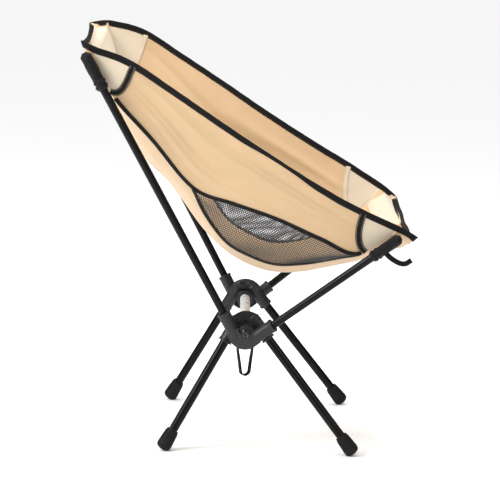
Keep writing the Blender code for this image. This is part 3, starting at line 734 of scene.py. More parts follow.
def cutFrom(piece, cutter):
    made = piece.modifiers.new("cut", "BOOLEAN")
    made.operation, made.object, made.solver = "DIFFERENCE", cutter, "EXACT"
    applied(piece)
    bpy.data.objects.remove(cutter, do_unlink=True)
    return piece


def discAt(name, side, profile, count=64):
    # a solid turned about the hinge axis from (out, radius) pairs
    start = Vector((0.0, middleY - hinge[0], hinge[1]))
    return turnedPiece(name, profile, hubNylon, frameAlong(start, (side, 0, 0)), count)


def fuse(piece):
    # one skin over all the overlapping shapes, with small fillets where they meet
    skin = piece.modifiers.new("skin", "REMESH")
    skin.mode, skin.voxel_size = "VOXEL", hub["voxel"]
    ease = piece.modifiers.new("ease", "SMOOTH")
    ease.factor, ease.iterations = 0.5, hub["smoothing"]
    applied(piece)
    piece.data.materials.clear()
    piece.data.materials.append(hubNylon)
    piece.data.shade_smooth()
    return piece


def startHub(side, crossing, slopes, rodRadius, step=0.0):
    # the flat V and its two sleeves; the step thins the V's outer face
    origin, arms, normal = hubAxes(side, crossing, slopes)
    axis = Vector((0.0, middleY - hinge[0], hinge[1]))
    centre = axis + Vector((side, 0, 0)) * ((origin - axis).dot(normal) / (normal.x * side))
    outline = hubOutline(origin, arms, normal, centre, hub["armHalf"],
                         armLength - hub["plateShort"])
    body = prismOf("v", outline, normal, -hub["half"], hub["half"] - step)
    sleeves = [turnedPiece("sleeve", sleeveProfile(rodRadius), hubNylon, frameAlong(origin, arm), 48)
               for arm in arms]
    return origin, arms, normal, body, sleeves


def easedDisc(name, side, disc):
    r, start, face, edge = (disc[k] for k in ("radius", "start", "face", "edge"))
    return discAt(name, side, ((start, 0.0), (start, r), (face - edge, r), (face, r - edge),
                               (face, 0.0)))


def makeSeatHub(word, side):
    *_, body, sleeves = startHub(side, seatCrossing, (poleSlopes["back"], poleSlopes["front"]),
                                 tubes["poleRadius"], hub["seatStep"])
    # the tongue round the pin runs down into the corner between the arms
    shapes = [body, *sleeves, easedDisc("tongue", side, hub["tongue"]),
              easedDisc("washer", side, hub["washer"])]
    hubPiece = fuse(joined("seatHub_" + word, shapes))
    (start, end), r = hub["seatBore"], pin["radius"] + gap
    cutFrom(hubPiece, discAt("bore", side, ((start, 0.0), (start, r), (end, r), (end, 0.0))))
    settle(hubPiece, "seat", "hub_black", "seat_hub_" + word)


def makeLegHub(word, side):
    origin, arms, normal, body, sleeves = startHub(
        side, legCrossing, (legSlopes["rear"], legSlopes["front"]), tubes["legRadius"])
    pocket, depth = hub["pocketRadius"], hub["pocketDepth"]
    inner = legCrossing[1] - hub["half"]
    cutFrom(body, discAt("pocket", side, ((inner - 0.02, 0.0), (inner - 0.02, pocket),
                                          (inner + depth, pocket - 0.001), (inner + depth, 0.0))))
    # the window at the top of the arch, open towards the middle
    up = Vector((0, 0, 1))
    along = Vector((0, -1, 0))
    top = Vector((side * inner, middleY, legCrossing[2]))
    window = []
    for forward, rise in hub["window"]:
        window.append(top + along * forward + up * rise)
    cutFrom(body, prismOf("window", window, Vector((side, 0, 0)), *hub["windowDepth"]))
    crotch = origin + (arms[0] + arms[1]).normalized() * hub["webDown"]
    corners = [crotch] + [origin + arm * hub["webReach"] for arm in arms]
    collar, bore = hub["collar"], tubes["crossRadius"] + gap
    r, face, edge, neck = (collar[k] for k in ("radius", "face", "edge", "neck"))
    floor = collar["tubeEnd"]                   # the cross tube's end stands here
    disc = discAt("collar", side, ((face + edge, bore), (face, bore + edge), (face, r - edge),
                                   (face + edge, r), (collar["end"], r), (collar["end"], neck),
                                   (collar["neckEnd"], neck), (collar["neckEnd"], 0.0),
                                   (floor, 0.0), (floor, bore)))
    web = prismOf("web", corners, normal, *hub["web"])
    hubPiece = fuse(joined("legHub_" + word, [body, web, *sleeves, disc]))
    (start, end), pinBore = hub["legBore"], pin["radius"] + gap
    cutFrom(hubPiece, discAt("bore", side, ((start, 0.0), (start, bore), (floor, bore),
                                            (floor, pinBore), (end, pinBore), (end, 0.0))))
    settle(hubPiece, "frame", "hub_black", "leg_hub_" + word)


def makePin(word, side):
    r, point = pin["radius"], pin["point"]
    start, face = pin["inner"], pin["headFace"]
    profile = [(start, 0.0), (start, r - point), (start + point, r), (face, r)]
    profile += [(face + out, pin["headRadius"] - less) for out, less in pin["head"]]
    profile.append((face + pin["dish"], 0.0))
    piece = discAt("hingePin_" + word, side, profile, 48)
    piece.data.materials.clear()
    piece.data.materials.append(pinMetal)
    settle(piece, "frame", "pin_dark", "hinge_pin_" + word)


for word, side in sides:
    makeSeatHub(word, side)
    makeLegHub(word, side)
    makePin(word, side)
print("hubs made")

# ---- feet
foot = {
    "bore": 0.00755, "lipUp": 0.0265,
    "outside": ((0.0265, 0.0091), (0.0262, 0.0096), (0.0240, 0.0099), (0.0120, 0.0104),
                (0.0040, 0.0112), (-0.0010, 0.0118), (-0.0030, 0.0120), (-0.0058, 0.0110),
                (-0.0075, 0.0092), (-0.0088, 0.0066), (-0.0096, 0.0035)),
    "floor": -0.0006, "mouthEdge": 0.0005, "base": -0.0098, "sharp": 38,
    "ribs": {"Ribs": 16, "Top Radius": 0.0097, "Bottom Radius": 0.0113, "Top": 0.0225,
             "Bottom": -0.0010, "Rib Radius": 0.0010},
}


def makeFoot(place, word, side):
    slope = legSlopes[place]
    arm = aim(side, slope)
    end = spot(side, onAxis(legCrossing, slope, legEndUp[place]))
    name = "%s_%s" % (place, word)
    bore, lip, edge, floor = (foot[k] for k in ("bore", "lipUp", "mouthEdge", "floor"))
    inner = ((floor, 0.0), (floor, bore), (lip - edge, bore), (lip, bore + edge))
    profile = inner + foot["outside"] + ((foot["base"], 0.0),)
    points, faces, uvs = turnedMesh(profile, 64)
    cap = outwards(pieceFrom("rubberFoot_" + name, points, faces, feetRubber, uvs))
    runTree(cap, trees["ribs"], foot["ribs"])
    cap.data.transform(frameAlong(end, -arm))
    # the floor cuts the sole off flat
    work = bmesh.new()
    work.from_mesh(cap.data)
    everything = work.verts[:] + work.edges[:] + work.faces[:]
    bmesh.ops.bisect_plane(work, geom=everything, plane_co=(0, 0, 0), plane_no=(0, 0, -1),
                           clear_outer=True)
    bmesh.ops.holes_fill(work, edges=[e for e in work.edges if e.is_boundary])
    bmesh.ops.recalc_face_normals(work, faces=work.faces)
    work.to_mesh(cap.data)
    work.free()
    cap.data.shade_smooth()
    cap.data.set_sharp_from_angle(angle=math.radians(foot["sharp"]))
    settle(cap, "leg_%s_body" % name, "rubber_black", "foot_" + name)


for word, side in sides:
    for place in legSlopes:
        makeFoot(place, word, side)
print("feet made")

# ---- seat outline, the same stations as the frame's model
topEdge = ((-0.253, 0.241, 0.652), (-0.190, 0.249, 0.632), (-0.120, 0.257, 0.594),
           (-0.050, 0.261, 0.553), (0.020, 0.262, 0.510), (0.080, 0.260, 0.474),
           (0.135, 0.256, 0.441), (0.180, 0.251, 0.415), (0.243, 0.243, 0.379))
# The cloth hangs unevenly: how far the rim stands above those stations on each side.
rimRise = {
    1: (0.0175, 0.0225, 0.018, 0.0155, 0.0135, 0.013, 0.0137, 0.015, 0.013),
    -1: (0.0, -0.001, -0.006, -0.0103, -0.011, -0.0115, -0.0098, -0.0067, 0.0017),
}
sideSeam = ((-0.253, 0.241, 0.652), (-0.221, 0.221, 0.577), (-0.155, 0.194, 0.501),
            (-0.088, 0.178, 0.424), (-0.020, 0.203, 0.403), (0.045, 0.217, 0.384),
            (0.115, 0.220, 0.355), (0.177, 0.212, 0.332), (0.243, 0.243, 0.379))
meshLow = ((-0.088, 0.178, 0.424), (-0.066, 0.158, 0.378), (-0.034, 0.143, 0.335),
           (0.003, 0.132, 0.312), (0.045, 0.127, 0.298), (0.090, 0.132, 0.301),
           (0.135, 0.155, 0.313), (0.177, 0.212, 0.332))
backCorner = {1: (-0.286, 0.236, 0.664), -1: (-0.2685, 0.236, 0.659)}
frontCorner = {1: (0.269, 0.243, 0.371), -1: (0.269, 0.243, 0.366)}
centreLine = ((-0.277, 0.648), (-0.265, 0.622), (-0.246, 0.588), (-0.229, 0.556),
              (-0.203, 0.506), (-0.172, 0.457), (-0.134, 0.422), (-0.110, 0.391),
              (-0.075, 0.344), (-0.042, 0.311), (-0.005, 0.286), (0.040, 0.271),
              (0.089, 0.271), (0.135, 0.282), (0.180, 0.296), (0.206, 0.305),
              (0.236, 0.318), (0.260, 0.334), (0.272, 0.348))
net = {"pitch": 0.0042, "yarn": 0.00076, "belly": 0.006, "wave": 0.0016, "waves": 15}
seam = {
    "netFrom": 3 / 8, "netTo": 7 / 8,          # where the side seam borders the net
    "earBack": 1 / 18, "lowFrom": 7 / 18, "lowTo": 14 / 18, "earFront": 17 / 18,
    "bandBack": 0.137, "bandFront": 0.880,     # corner tapes
    "earDrop": 0.0110, "earDropOver": 0.007,   # the ears turn down at the rim
}


def raised(side, stations):
    # the rim's stations as they hang on one side
    return [(f, out, up + rise) for (f, out, up), rise in zip(stations, rimRise[side])]


rims = {side: raised(side, topEdge) for side in rimRise}
seams = {side: [rims[side][0]] + list(sideSeam[1:-1]) + [rims[side][-1]] for side in rimRise}


def topAt(side, u):
    return curveAt(rims[side], u)


def seamAt(side, u):
    return curveAt(seams[side], u)


def foldOf(folds, u, v):
    # soft creases: each runs from one (u, v) to another with its own width and height
    total = 0.0
    for fromU, fromV, toU, toV, width, height in folds:
        du, dv = toU - fromU, toV - fromV
        t = ((u - fromU) * du + (v - fromV) * dv) / (du * du + dv * dv)
        inside = min(max(t, 0.0), 1.0)
        away = math.hypot(sidePanel["aspect"] * (u - fromU - du * inside), v - fromV - dv * inside)
        fade = math.sin(math.pi * min(max((t + 0.15) / 1.3, 0.0), 1.0))
        total += height * fade * math.exp(-(away / width) ** 2)
    return total


sidePanel = {
    "bulge": 0.03, "thick": 0.0010, "aspect": 3.2,
    "rows": 96, "columns": 34,
    "flat": (0.17, 0.45),
    "patchFlat": {"back": (0.085, 0.07), "front": (0.105, 0.065)},
    "patchEnd": {"back": 0.014, "front": 0.986}, "patchRows": 30, "patchThick": 0.0013,
    "tanInset": 0.004, "paleInset": 0.0085, "lowInset": 0.0008,   # from the rim, from the seam
    "folds": {                   # from u, v to u, v, then width and height
        -1: ((0.16, 0.62, 0.62, 0.90, 0.070, 0.0055), (0.17, 0.42, 0.62, 0.72, 0.095, -0.0062),
             (0.15, 0.24, 0.74, 0.54, 0.085, 0.0050), (0.20, 0.10, 0.86, 0.38, 0.080, -0.0040),
             (0.48, 0.62, 0.82, 0.66, 0.070, 0.0036), (0.60, 0.80, 0.84, 0.80, 0.060, -0.0030),
             (0.20, 0.74, 0.34, 0.94, 0.040, 0.0020)),
        1: ((0.18, 0.30, 0.66, 0.62, 0.110, 0.0045), (0.20, 0.55, 0.60, 0.82, 0.100, -0.0042),
            (0.42, 0.30, 0.86, 0.48, 0.100, -0.0040)),
    },
}


centrePanel = {
    "flat": (0.50, 0.76), "thick": 0.0011, "rows": 150, "columns": 84,
    "endInset": 0.006,                         # share of its length left to the binding
    "margin": 0.0012, "earMargin": 0.004,
}
earLining = {
    "thick": 0.0008, "lift": 0.0013, "rows": 34, "columns": 26,
    "margin": 0.0095, "bow": 0.10,
    "back": {"first": 0.014, "last": 0.150, "inwards": 0.34, "flat": (0.12, 0.15)},
    "front": {"first": 0.872, "last": 0.986, "inwards": 0.40, "flat": (0.11, 0.12)},
}


def sideAt(side, u, v):
    top, low = topAt(side, u), seamAt(side, u)
    span = low - top
    length = np.linalg.norm(span)
    bulge = sidePanel["bulge"] * length * math.sin(math.pi * v)
    edge = smoothStep(0.0, 0.18, v) * smoothStep(0.0, 0.12, 1 - v)
    fold = foldOf(sidePanel["folds"][side], u, v) * edge
    return spot(side, top + span * v + np.array((0.0, bulge + fold, fold * 0.25)))


def netAt(side, u, v):
    first, last = seam["netFrom"], seam["netTo"]
    high, low = seamAt(side, first + (last - first) * u), curveAt(meshLow, u)
    belly = net["belly"] * math.sin(math.pi * v) * math.sin(math.pi * u)
    belly += net["wave"] * math.sin(net["waves"] * u + 3 * v) * math.sin(math.pi * v)
    return spot(side, high + (low - high) * v + np.array((0.0, belly, -belly)))


def centreEdge(side, w):
    earBack, lowFrom, lowTo, earFront = (seam[k] for k in ("earBack", "lowFrom", "lowTo", "earFront"))
    if w < earBack:
        corner, start = np.array(backCorner[side]), np.array(seams[side][0])
        return corner + (start - corner) * w / earBack
    if w < lowFrom:
        return seamAt(side, seam["netFrom"] * (w - earBack) / (lowFrom - earBack))
    if w < lowTo:
        return curveAt(meshLow, (w - lowFrom) / (lowTo - lowFrom))
    if w < earFront:
        share = (w - lowTo) / (earFront - lowTo)
        return seamAt(side, seam["netTo"] + (1 - seam["netTo"]) * share)
    end, corner = np.array(seams[side][-1]), np.array(frontCorner[side])
    return end + (corner - end) * (w - earFront) / (1 - earFront)


def centreAt(w, v):
    edge, mid = centreEdge(1 if v > 0 else -1, w), curveAt(centreLine, w)
    lift = v * v
    forward = mid[0] + (edge[0] - mid[0]) * lift
    up = mid[1] + (edge[2] - mid[1]) * lift
    ear = smoothStep(0.0, 0.5 * seam["earBack"], min(w, 1 - w))
    ear *= 1 - smoothStep(seam["earBack"], 2.2 * seam["earBack"], min(w, 1 - w))
    up -= ear * seam["earDrop"] * smoothStep(0.0, seam["earDropOver"], (1 - abs(v)) * edge[1])
    # slack between the back edge and the lumbar: long shallow creases
    slack = 0.0012 * math.sin(9 * w + 5 * v) * math.sin(7 * v) * smoothStep(0.06, 0.2, w)
    slack *= 1 - smoothStep(0.75, 1.0, abs(v))
    return spot(1, (forward + slack, v * edge[1], up + slack))


def gridPiece(name, at, rowValues, columnValues, thick, material, lift=0.0):
    # a cloth panel: a grid on a surface, with UV in metres, given its thickness
    grid = np.array([[np.array(at(a, b)) for b in columnValues] for a in rowValues])
    normal = np.cross(np.gradient(grid, axis=0), np.gradient(grid, axis=1))
    normal /= np.linalg.norm(normal, axis=2, keepdims=True) + 1e-12
    grid = grid + normal * lift
    rows, columns = grid.shape[:2]
    uvs, points, faces = [], [], []
    along = 0.0
    for i in range(rows):
        if i:
            along += np.linalg.norm(grid[i, columns // 2] - grid[i - 1, columns // 2])
        across = 0.0
        for j in range(columns):
            if j:
                across += np.linalg.norm(grid[i, j] - grid[i, j - 1])
            points.append(grid[i, j])
            uvs.append((across, along))
    for i in range(rows - 1):
        for j in range(columns - 1):
            k = i * columns + j
            faces.append((k, k + columns, k + columns + 1, k + 1))
    piece = pieceFrom(name, points, faces, material, uvs)
    solid = piece.modifiers.new("thickness", "SOLIDIFY")
    solid.thickness, solid.offset = thick, 0.0
    applied(piece)
    work = bmesh.new()
    work.from_mesh(piece.data)
    bmesh.ops.recalc_face_normals(work, faces=work.faces)
    work.to_mesh(piece.data)
    work.free()
    return piece


def insetColumns(at, top, bottom, count):
    # v values pulled in by real lengths at the two long edges
    def inner(u, f):
        length = sum((at(u, (k + 1) / 6) - at(u, k / 6)).length for k in range(6))
        length = max(length, 1e-6)
        low, high = min(top / length, 0.45), 1 - min(bottom / length, 0.45)
        return at(u, low + (high - low) * f)
    return inner, spanned(0.0, 1.0, count)


def bandU(place, v):
    # the corner tapes cross the side panels in a slight curve
    if place == "back":
        return seam["bandBack"] + 0.014 * v - 0.030 * v ** 6
    return seam["bandFront"] - 0.012 * math.sin(math.pi * min(v, 1.0)) + 0.018 * v ** 6


def makeSidePanel(word, side):
    columns = sidePanel["columns"]

    def tanPart(f, v):
        first, last = bandU("back", v), bandU("front", v)
        return sideAt(side, first + (last - first) * f, v)
    inner, steps = insetColumns(tanPart, sidePanel["tanInset"], sidePanel["lowInset"], columns)
    panel = gridPiece("sidePanelCloth_" + word, inner, spanned(0, 1, sidePanel["rows"]), steps,
                      sidePanel["thick"], tanCloth)
    settle(panel, "seat", "cloth_tan", "side_panel_" + word)

    for place in ("back", "front"):
        def palePart(f, v, place=place):
            first, last = sorted((sidePanel["patchEnd"][place], bandU(place, v)))
            return sideAt(side, first + (last - first) * f, v)
        inner, steps = insetColumns(palePart, sidePanel["paleInset"], sidePanel["lowInset"], columns)
        patch = gridPiece("cornerPatchCloth_%s_%s" % (place, word), inner,
                          spanned(0, 1, sidePanel["patchRows"]), steps, sidePanel["patchThick"],
                          paleCloth)
        settle(patch, "seat", "cloth_pale", "corner_patch_%s_%s" % (place, word))


def makeCentrePanel():
    def inner(f, g):
        end = centrePanel["endInset"]
        w = end + (1 - end - end) * f
        atEar = 1 - smoothStep(0.0, seam["earBack"] * 0.8, min(w, 1 - w))
        margin = centrePanel["margin"] + centrePanel["earMargin"] * atEar
        return centreAt(w, g * (1 - margin / centreEdge(1, w)[1]))
    panel = gridPiece("centrePanelCloth", inner, spanned(0, 1, centrePanel["rows"]),
                      spanned(-1, 1, centrePanel["columns"]), centrePanel["thick"], tanCloth)
    settle(panel, "seat", "cloth_tan", "centre_panel")


def makeEarPatches(word, side):
    # pale lining on the ears of the centre panel, on the sitter's face of the cloth
    for place in ("back", "front"):
        lining = earLining[place]

        def ear(f, g, lining=lining):
            w = lining["first"] + (lining["last"] - lining["first"]) * f
            margin = earLining["margin"] / centreEdge(side, w)[1]
            reach = lining["inwards"] + earLining["bow"] * math.sin(math.pi * f) ** 2
            return centreAt(w, side * (reach + (1 - margin - reach) * g))
        patch = gridPiece("earLining_%s_%s" % (place, word), ear, spanned(0, 1, earLining["rows"]),
                          spanned(0, 1, earLining["columns"]), earLining["thick"], paleCloth,
                          earLining["lift"] * side)
        settle(patch, "seat", "cloth_pale")


def makeNet(word, side):
    # a triangle lattice laid out by real lengths, whose dual is the honeycomb net
    steps = spanned(0.0, 1.0, 60)
    middles = [netAt(side, u, 0.5) for u in steps]
    along = [0.0]
    for before, after in zip(middles, middles[1:]):
        along.append(along[-1] + (after - before).length)
    heights = [sum((netAt(side, u, (k + 1) / 6) - netAt(side, u, k / 6)).length for k in range(6))
               for u in steps]
    pitch, rise = net["pitch"], net["pitch"] * math.sqrt(3) / 2
    columns, rows = int(along[-1] / pitch), int(max(heights) / rise)
    index, points = {}, []
    for j in range(rows + 1):
        for i in range(columns + 1):
            x = (i + 0.5 * (j % 2)) * pitch
            u = float(np.interp(x, along, steps))
            height = float(np.interp(u, steps, heights))
            if x > along[-1] or j * rise > height + rise * 0.6:
                continue
            index[(i, j)] = len(points)
            points.append(netAt(side, u, min(j * rise / max(height, 1e-6), 1.0)))
    faces = []
    for (i, j) in index:
        lower = (i + (j % 2), j + 1)
        trios = (((i, j), (i + 1, j), lower), ((i, j), lower, (lower[0] - 1, j + 1)))
        for trio in trios:
            if all(corner in index for corner in trio):
                faces.append(tuple(index[corner] for corner in trio))
    piece = pieceFrom("netCloth_" + word, points, faces, netYarn)
    runTree(piece, trees["net"], {"Yarn Radius": net["yarn"]})
    settle(piece, "seat", "mesh_black", "mesh_panel_" + word)


makeCentrePanel()
for word, side in sides:
    makeSidePanel(word, side)
    makeEarPatches(word, side)
    makeNet(word, side)
print("cloth made")

# ---- binding, tapes and their stitches
trim = {
    "bindingDeep": 0.0110, "bindingThick": 0.0026,
    "cornerTape": 0.0110, "seamTape": 0.0078, "netTape": 0.0086, "tapeThick": 0.0011,
    "tapeInset": 0.0092,
    "stitchInset": 0.0017, "tapeStitchInset": 0.0013, "stitchLift": 0.0001,
    "tapeLift": 0.0002,                        # corner tape above the cloth
    "stayDrop": 0.0007, "stayThick": 0.0008, "stayShare": 0.8, "stayStitchShare": 0.78,
    "stayStitchDrop": 0.0005,                  # pale stay on the inside, behind the tape
    "seamTapeLift": 0.0013, "seamTapeAt": 0.985, "seamTapePast": 0.004,
    "netTapeLift": 0.0016, "netTapeAt": 0.96,
    # the binding's section: share of its depth, share of its half thickness
    "bindingLips": ((0.35, 1.08), (0.70, 0.98), (0.93, 0.86)), "bindingEdge": 0.55,
    "wobble": 0.0004, "wobbleScale": 60, "spacing": 0.004,
}


def earStations(side, first, last):
    # the rim between a seam's end and a corner, where it binds the centre panel
    middle = (first + last) / 2
    turned = 1 - seam["earDropOver"] / centreEdge(side, middle)[1]
    down = centreAt(middle, turned * side) - centreAt(middle, side)
    return [(centreAt(w, side), down) for w in spanned(first, last, 6)]


def rimStations():
    ring = []
    for side in (1, -1):
        half = []
        for v in spanned(0.0, 0.97, 26):
            point = centreAt(1.0, side * v)
            half.append((point, centreAt(0.97, side * v) - point))
        half += earStations(side, 1.0, seam["earFront"])
        for u in spanned(0.99, 0.01, 110):
            inside = min(max(u, 0.06), 0.94)
            half.append((spot(side, topAt(side, u)),
                         sideAt(side, inside, 0.25) - sideAt(side, inside, 0.0)))
        half += earStations(side, seam["earBack"], 0.0)
        for v in spanned(0.97, 0.0, 26):
            point = centreAt(0.0, side * v)
            half.append((point, centreAt(0.03, side * v) - point))
        ring += half if side == 1 else half[-2:0:-1]
    points = np.array([tuple(p) for p, _ in ring])
    downs = np.array([tuple(Vector(d).normalized()) for _, d in ring])
    # even spacing, then a running mean that rounds the corners
    steps = np.linalg.norm(np.roll(points, -1, axis=0) - points, axis=1)
    travelled = np.concatenate(([0.0], np.cumsum(steps)))
    count = int(travelled[-1] / trim["spacing"])
    at = np.linspace(0, travelled[-1], count, endpoint=False)
    closedPoints = np.vstack((points, points[:1]))
    closedDowns = np.vstack((downs, downs[:1]))
    even = np.stack([np.interp(at, travelled, closedPoints[:, k]) for k in range(3)], axis=1)
    down = np.stack([np.interp(at, travelled, closedDowns[:, k]) for k in range(3)], axis=1)
    for _ in range(5):
        even = (np.roll(even, 1, axis=0) + 2 * even + np.roll(even, -1, axis=0)) / 4
    for _ in range(6):
        down = (np.roll(down, 1, axis=0) + 2 * down + np.roll(down, -1, axis=0)) / 4
    return even, down


def makeBinding():
    even, down = rimStations()
    count = len(even)
    deep, half = trim["bindingDeep"], trim["bindingThick"] / 2
    path, outerLine, innerLine = [], [], []
    for k in range(count):
        run = Vector(even[(k + 1) % count] - even[k - 1]).normalized()
        d = Vector(down[k])
        d = (d - run * d.dot(run)).normalized()
        across = run.cross(d)
        wobble = trim["wobble"] * noise.noise(Vector(even[k]) * trim["wobbleScale"])
        point = Vector(even[k]) + d * (trim["wobble"] + wobble)
        section = []
        # folded tape: round at the rim, thin lips at the lower edge
        for angle in spanned(0.0, 180.0, 6):
            a = math.radians(angle)
            section.append(point + across * (half * math.cos(a)) + d * (half - half * math.sin(a)))
        for fall, spread in trim["bindingLips"]:
            section.append(point - across * half * spread + d * deep * fall)
        section.append(point - across * half * trim["bindingEdge"] + d * deep)
        section.append(point + across * half * trim["bindingEdge"] + d * deep)
        for fall, spread in reversed(trim["bindingLips"]):
            section.append(point + across * half * spread + d * deep * fall)
        path.append((point, section))
        low = point + d * (deep - trim["stitchInset"])
        outerLine.append(low + across * (half + trim["stitchLift"]))
        innerLine.append(low - across * (half + trim["stitchLift"]))
    binding = sweptPiece("rimBinding", path, blackTape, closedPath=True)
    settle(binding, "seat", "webbing_black", "edge_binding")
    stitchLines("rimStitches", [outerLine + outerLine[:1], innerLine + innerLine[:1]], "black",
                slotName="webbing_black", pitch=0.0042, length=0.0030, thick=0.0006)


def surfaceNormal(at, a, b, out):
    # the unit normal of a surface, turned to the side that "out" points to
    e = 0.004
    run = at(min(a + e, 1), b) - at(max(a - e, 0), b)
    fall = at(a, min(b + e, 1)) - at(a, max(b - e, 0))
    normal = run.cross(fall).normalized()
    return normal if normal.dot(out) > 0 else -normal


def makeCornerTapes(word, side):
    width, thick = trim["cornerTape"], trim["tapeThick"]
    out = Vector((side, 0, 0))

    def at(u, v):
        return sideAt(side, u, v)
    for place, band in (("back", seam["bandBack"]), ("front", seam["bandFront"])):
        path, lining, lines, innerLines = [], [], [[], []], [[], []]
        centres = []
        depth = (at(band, 1.0) - at(band, 0.0)).length
        for v in spanned(trim["tapeInset"] / depth, 0.995, 30):
            u = bandU(place, v)
            centres.append((at(u, v), surfaceNormal(at, u, v, out)))
        for k, (centre, normal) in enumerate(centres):
            before, after = centres[max(k - 1, 0)][0], centres[min(k + 1, len(centres) - 1)][0]
            run = (after - before).normalized()
            across = run.cross(normal).normalized()
            lifted = centre + normal * (sidePanel["thick"] / 2 + thick / 2 + trim["tapeLift"])
            path.append((lifted, tapeSection(lifted, across, normal, width, thick)))
            lined = centre - normal * (sidePanel["thick"] / 2 + trim["stayDrop"])
            lining.append((lined, tapeSection(lined, across, normal, width * trim["stayShare"],
                                              trim["stayThick"])))
            for side2, line, inner in ((1, lines[0], innerLines[0]), (-1, lines[1], innerLines[1])):
                shift = across * side2 * (width / 2 - trim["stitchInset"])
                line.append(lifted + shift + normal * (thick / 2 + trim["stitchLift"]))
                inner.append(lined + shift * trim["stayStitchShare"]
                             - normal * trim["stayStitchDrop"])
        tape = sweptPiece("cornerTapeWeb_%s_%s" % (place, word), path, blackTape)
        settle(tape, "seat", "webbing_black", "corner_tape_%s_%s" % (place, word))
        stay = sweptPiece("cornerStay_%s_%s" % (place, word), lining, paleCloth)
        settle(stay, "seat", "cloth_pale")
        stitchLines("cornerTapeStitches_%s_%s" % (place, word), lines, "cream",
                    slotName="cloth_pale")
        stitchLines("cornerStayStitches_%s_%s" % (place, word), innerLines, "tan",
                    slotName="cloth_pale", thick=0.0006)


def tapeOnLine(name, line, width, thick):
    # line: (point, across, normal) triples; the tape is centred on them
    path, rows = [], [[], []]
    for point, across, normal in line:
        path.append((point, tapeSection(point, across, normal, width, thick)))
        for sign, row in ((1, rows[0]), (-1, rows[1])):
            shift = across * sign * (width / 2 - trim["tapeStitchInset"])
            row.append(point + shift + normal * (thick / 2 + trim["stitchLift"]))
    piece = sweptPiece(name, path, blackTape)
    stitchLines(name + "Stitches", rows, "black", slotName="webbing_black", pitch=0.0036,
                length=0.0024, thick=0.0006)
    return piece


def makeSeamTapes(word, side):
    out = Vector((side, 0, 0))
    thick = trim["tapeThick"]

    def lineOn(places, lift):
        line = []
        points = [p for p, _ in places]
        for k, (point, normal) in enumerate(places):
            before, after = points[max(k - 1, 0)], points[min(k + 1, len(points) - 1)]
            run = (after - before).normalized()
            across = run.cross(normal).normalized()
            line.append((point + normal * lift, across, normal))
        return line

    def at(u, v):
        return sideAt(side, u, v)

    def netSurface(u, v):
        return netAt(side, u, v)
    upper = []
    past = trim["seamTapePast"]
    for u in spanned(seam["bandBack"] + past, seam["bandFront"] + past, 90):
        upper.append((at(u, trim["seamTapeAt"]), surfaceNormal(at, u, 0.95, out)))
    tape = tapeOnLine("seamTapeWeb_" + word, lineOn(upper, trim["seamTapeLift"]),
                      trim["seamTape"], thick)
    settle(tape, "seat", "webbing_black", "seam_tape_" + word)
    lower = []
    for u in spanned(0.0, 1.0, 80):
        inside = min(max(u, 0.04), 0.96)
        lower.append((netAt(side, u, trim["netTapeAt"]),
                      surfaceNormal(netSurface, inside, 0.90, out)))
    tape = tapeOnLine("netTapeWeb_" + word, lineOn(lower, trim["netTapeLift"]),
                      trim["netTape"], thick)
    settle(tape, "seat", "webbing_black")


makeBinding()
for word, side in sides:
    makeCornerTapes(word, side)
    makeSeamTapes(word, side)
print("trim made")

# ---- pole pockets, pull tabs and the carry loop
pocket = {
    "back": {"length": 0.062, "seamShare": 2 / 18, "oval": 1.08, "swell": 0.0007,
             "ring": 0.0022},
    "front": {"length": 0.054, "seamShare": 16 / 18, "oval": 1.04, "swell": 0.0005,
              "ring": 0.0014},
    "hole": 0.00755, "wall": 0.0008, "pastTip": 0.0072, "lid": 0.0020,
    "ringAt": (0.80, 0.92), "ringWide": 0.035,  # shares of the length
    "closing": 0.0042, "closeOver": 0.09,       # the end narrows to its lid
    "stitchAt": (0.72, 0.97), "stitchLift": 0.0004,
    "crumple": ((1.0, 0.0007), (2.7, 0.0003)),  # scale and height
}


def makePocket(place, word, side):
    spec = pocket[place]
    arm = aim(side, poleSlopes[place])
    tip = spot(side, onAxis(seatCrossing, poleSlopes[place], poleTipUp[place]))
    tip = tip + arm * pocket["pastTip"]
    away = tip - spot(side, centreEdge(side, spec["seamShare"]))
    hole, wall, length, lid = pocket["hole"], pocket["wall"], spec["length"], pocket["lid"]
    outer = []
    for f in spanned(0.0, 1.0, 40):
        # swells over the pole's end, narrows at the mouth, with two wrapped rings there
        up = lid - f * (length + lid)
        swell = spec["swell"] * math.sin(math.pi * min(f * 1.25 + 0.12, 1.0)) ** 0.7
        ring = sum(math.exp(-((f - where) / pocket["ringWide"]) ** 2) for where in pocket["ringAt"])
        close = pocket["closing"] * (1 - smoothStep(0.0, pocket["closeOver"], f))
        outer.append((up, hole + wall + swell + spec["ring"] * ring - close))
    inner = [(-length, hole), (-0.004, hole), (0.0, hole - 0.002), (0.0, 0.0)]
    profile = list(reversed(inner)) + list(reversed(outer)) + [(0.0022, 0.0)]

    def crumple(up, angle):
        if up > -0.003 or up < -length + 0.003:
            return 0.0
        spotIn = Vector((math.cos(angle) * 2.2, math.sin(angle) * 2.2, up * 120))
        return sum(height * noise.noise(spotIn * scale) for scale, height in pocket["crumple"])
    placing = frameAlong(tip, arm, away)
    piece = turnedPiece("poleSleeve_%s_%s" % (place, word), profile, blackSleeve, placing, 56,
                        oval=(1.0, spec["oval"]), wave=crumple, sharp=60)
    settle(piece, "seat", "webbing_black", "pole_pocket_%s_%s" % (place, word))
    # stitch rows round the mouth
    rows = []
    for f in pocket["stitchAt"]:
        up = lid - f * (length + lid)
        reach = hole + wall + spec["swell"] + pocket["stitchLift"]
        rows.append([placing @ Vector((reach * math.cos(a), spec["oval"] * reach * math.sin(a), up))
                     for a in spanned(0.0, 2 * math.pi, 40)])
    stitchLines("poleSleeveStitches_%s_%s" % (place, word), rows, "black",
                slotName="webbing_black", thick=0.0007)


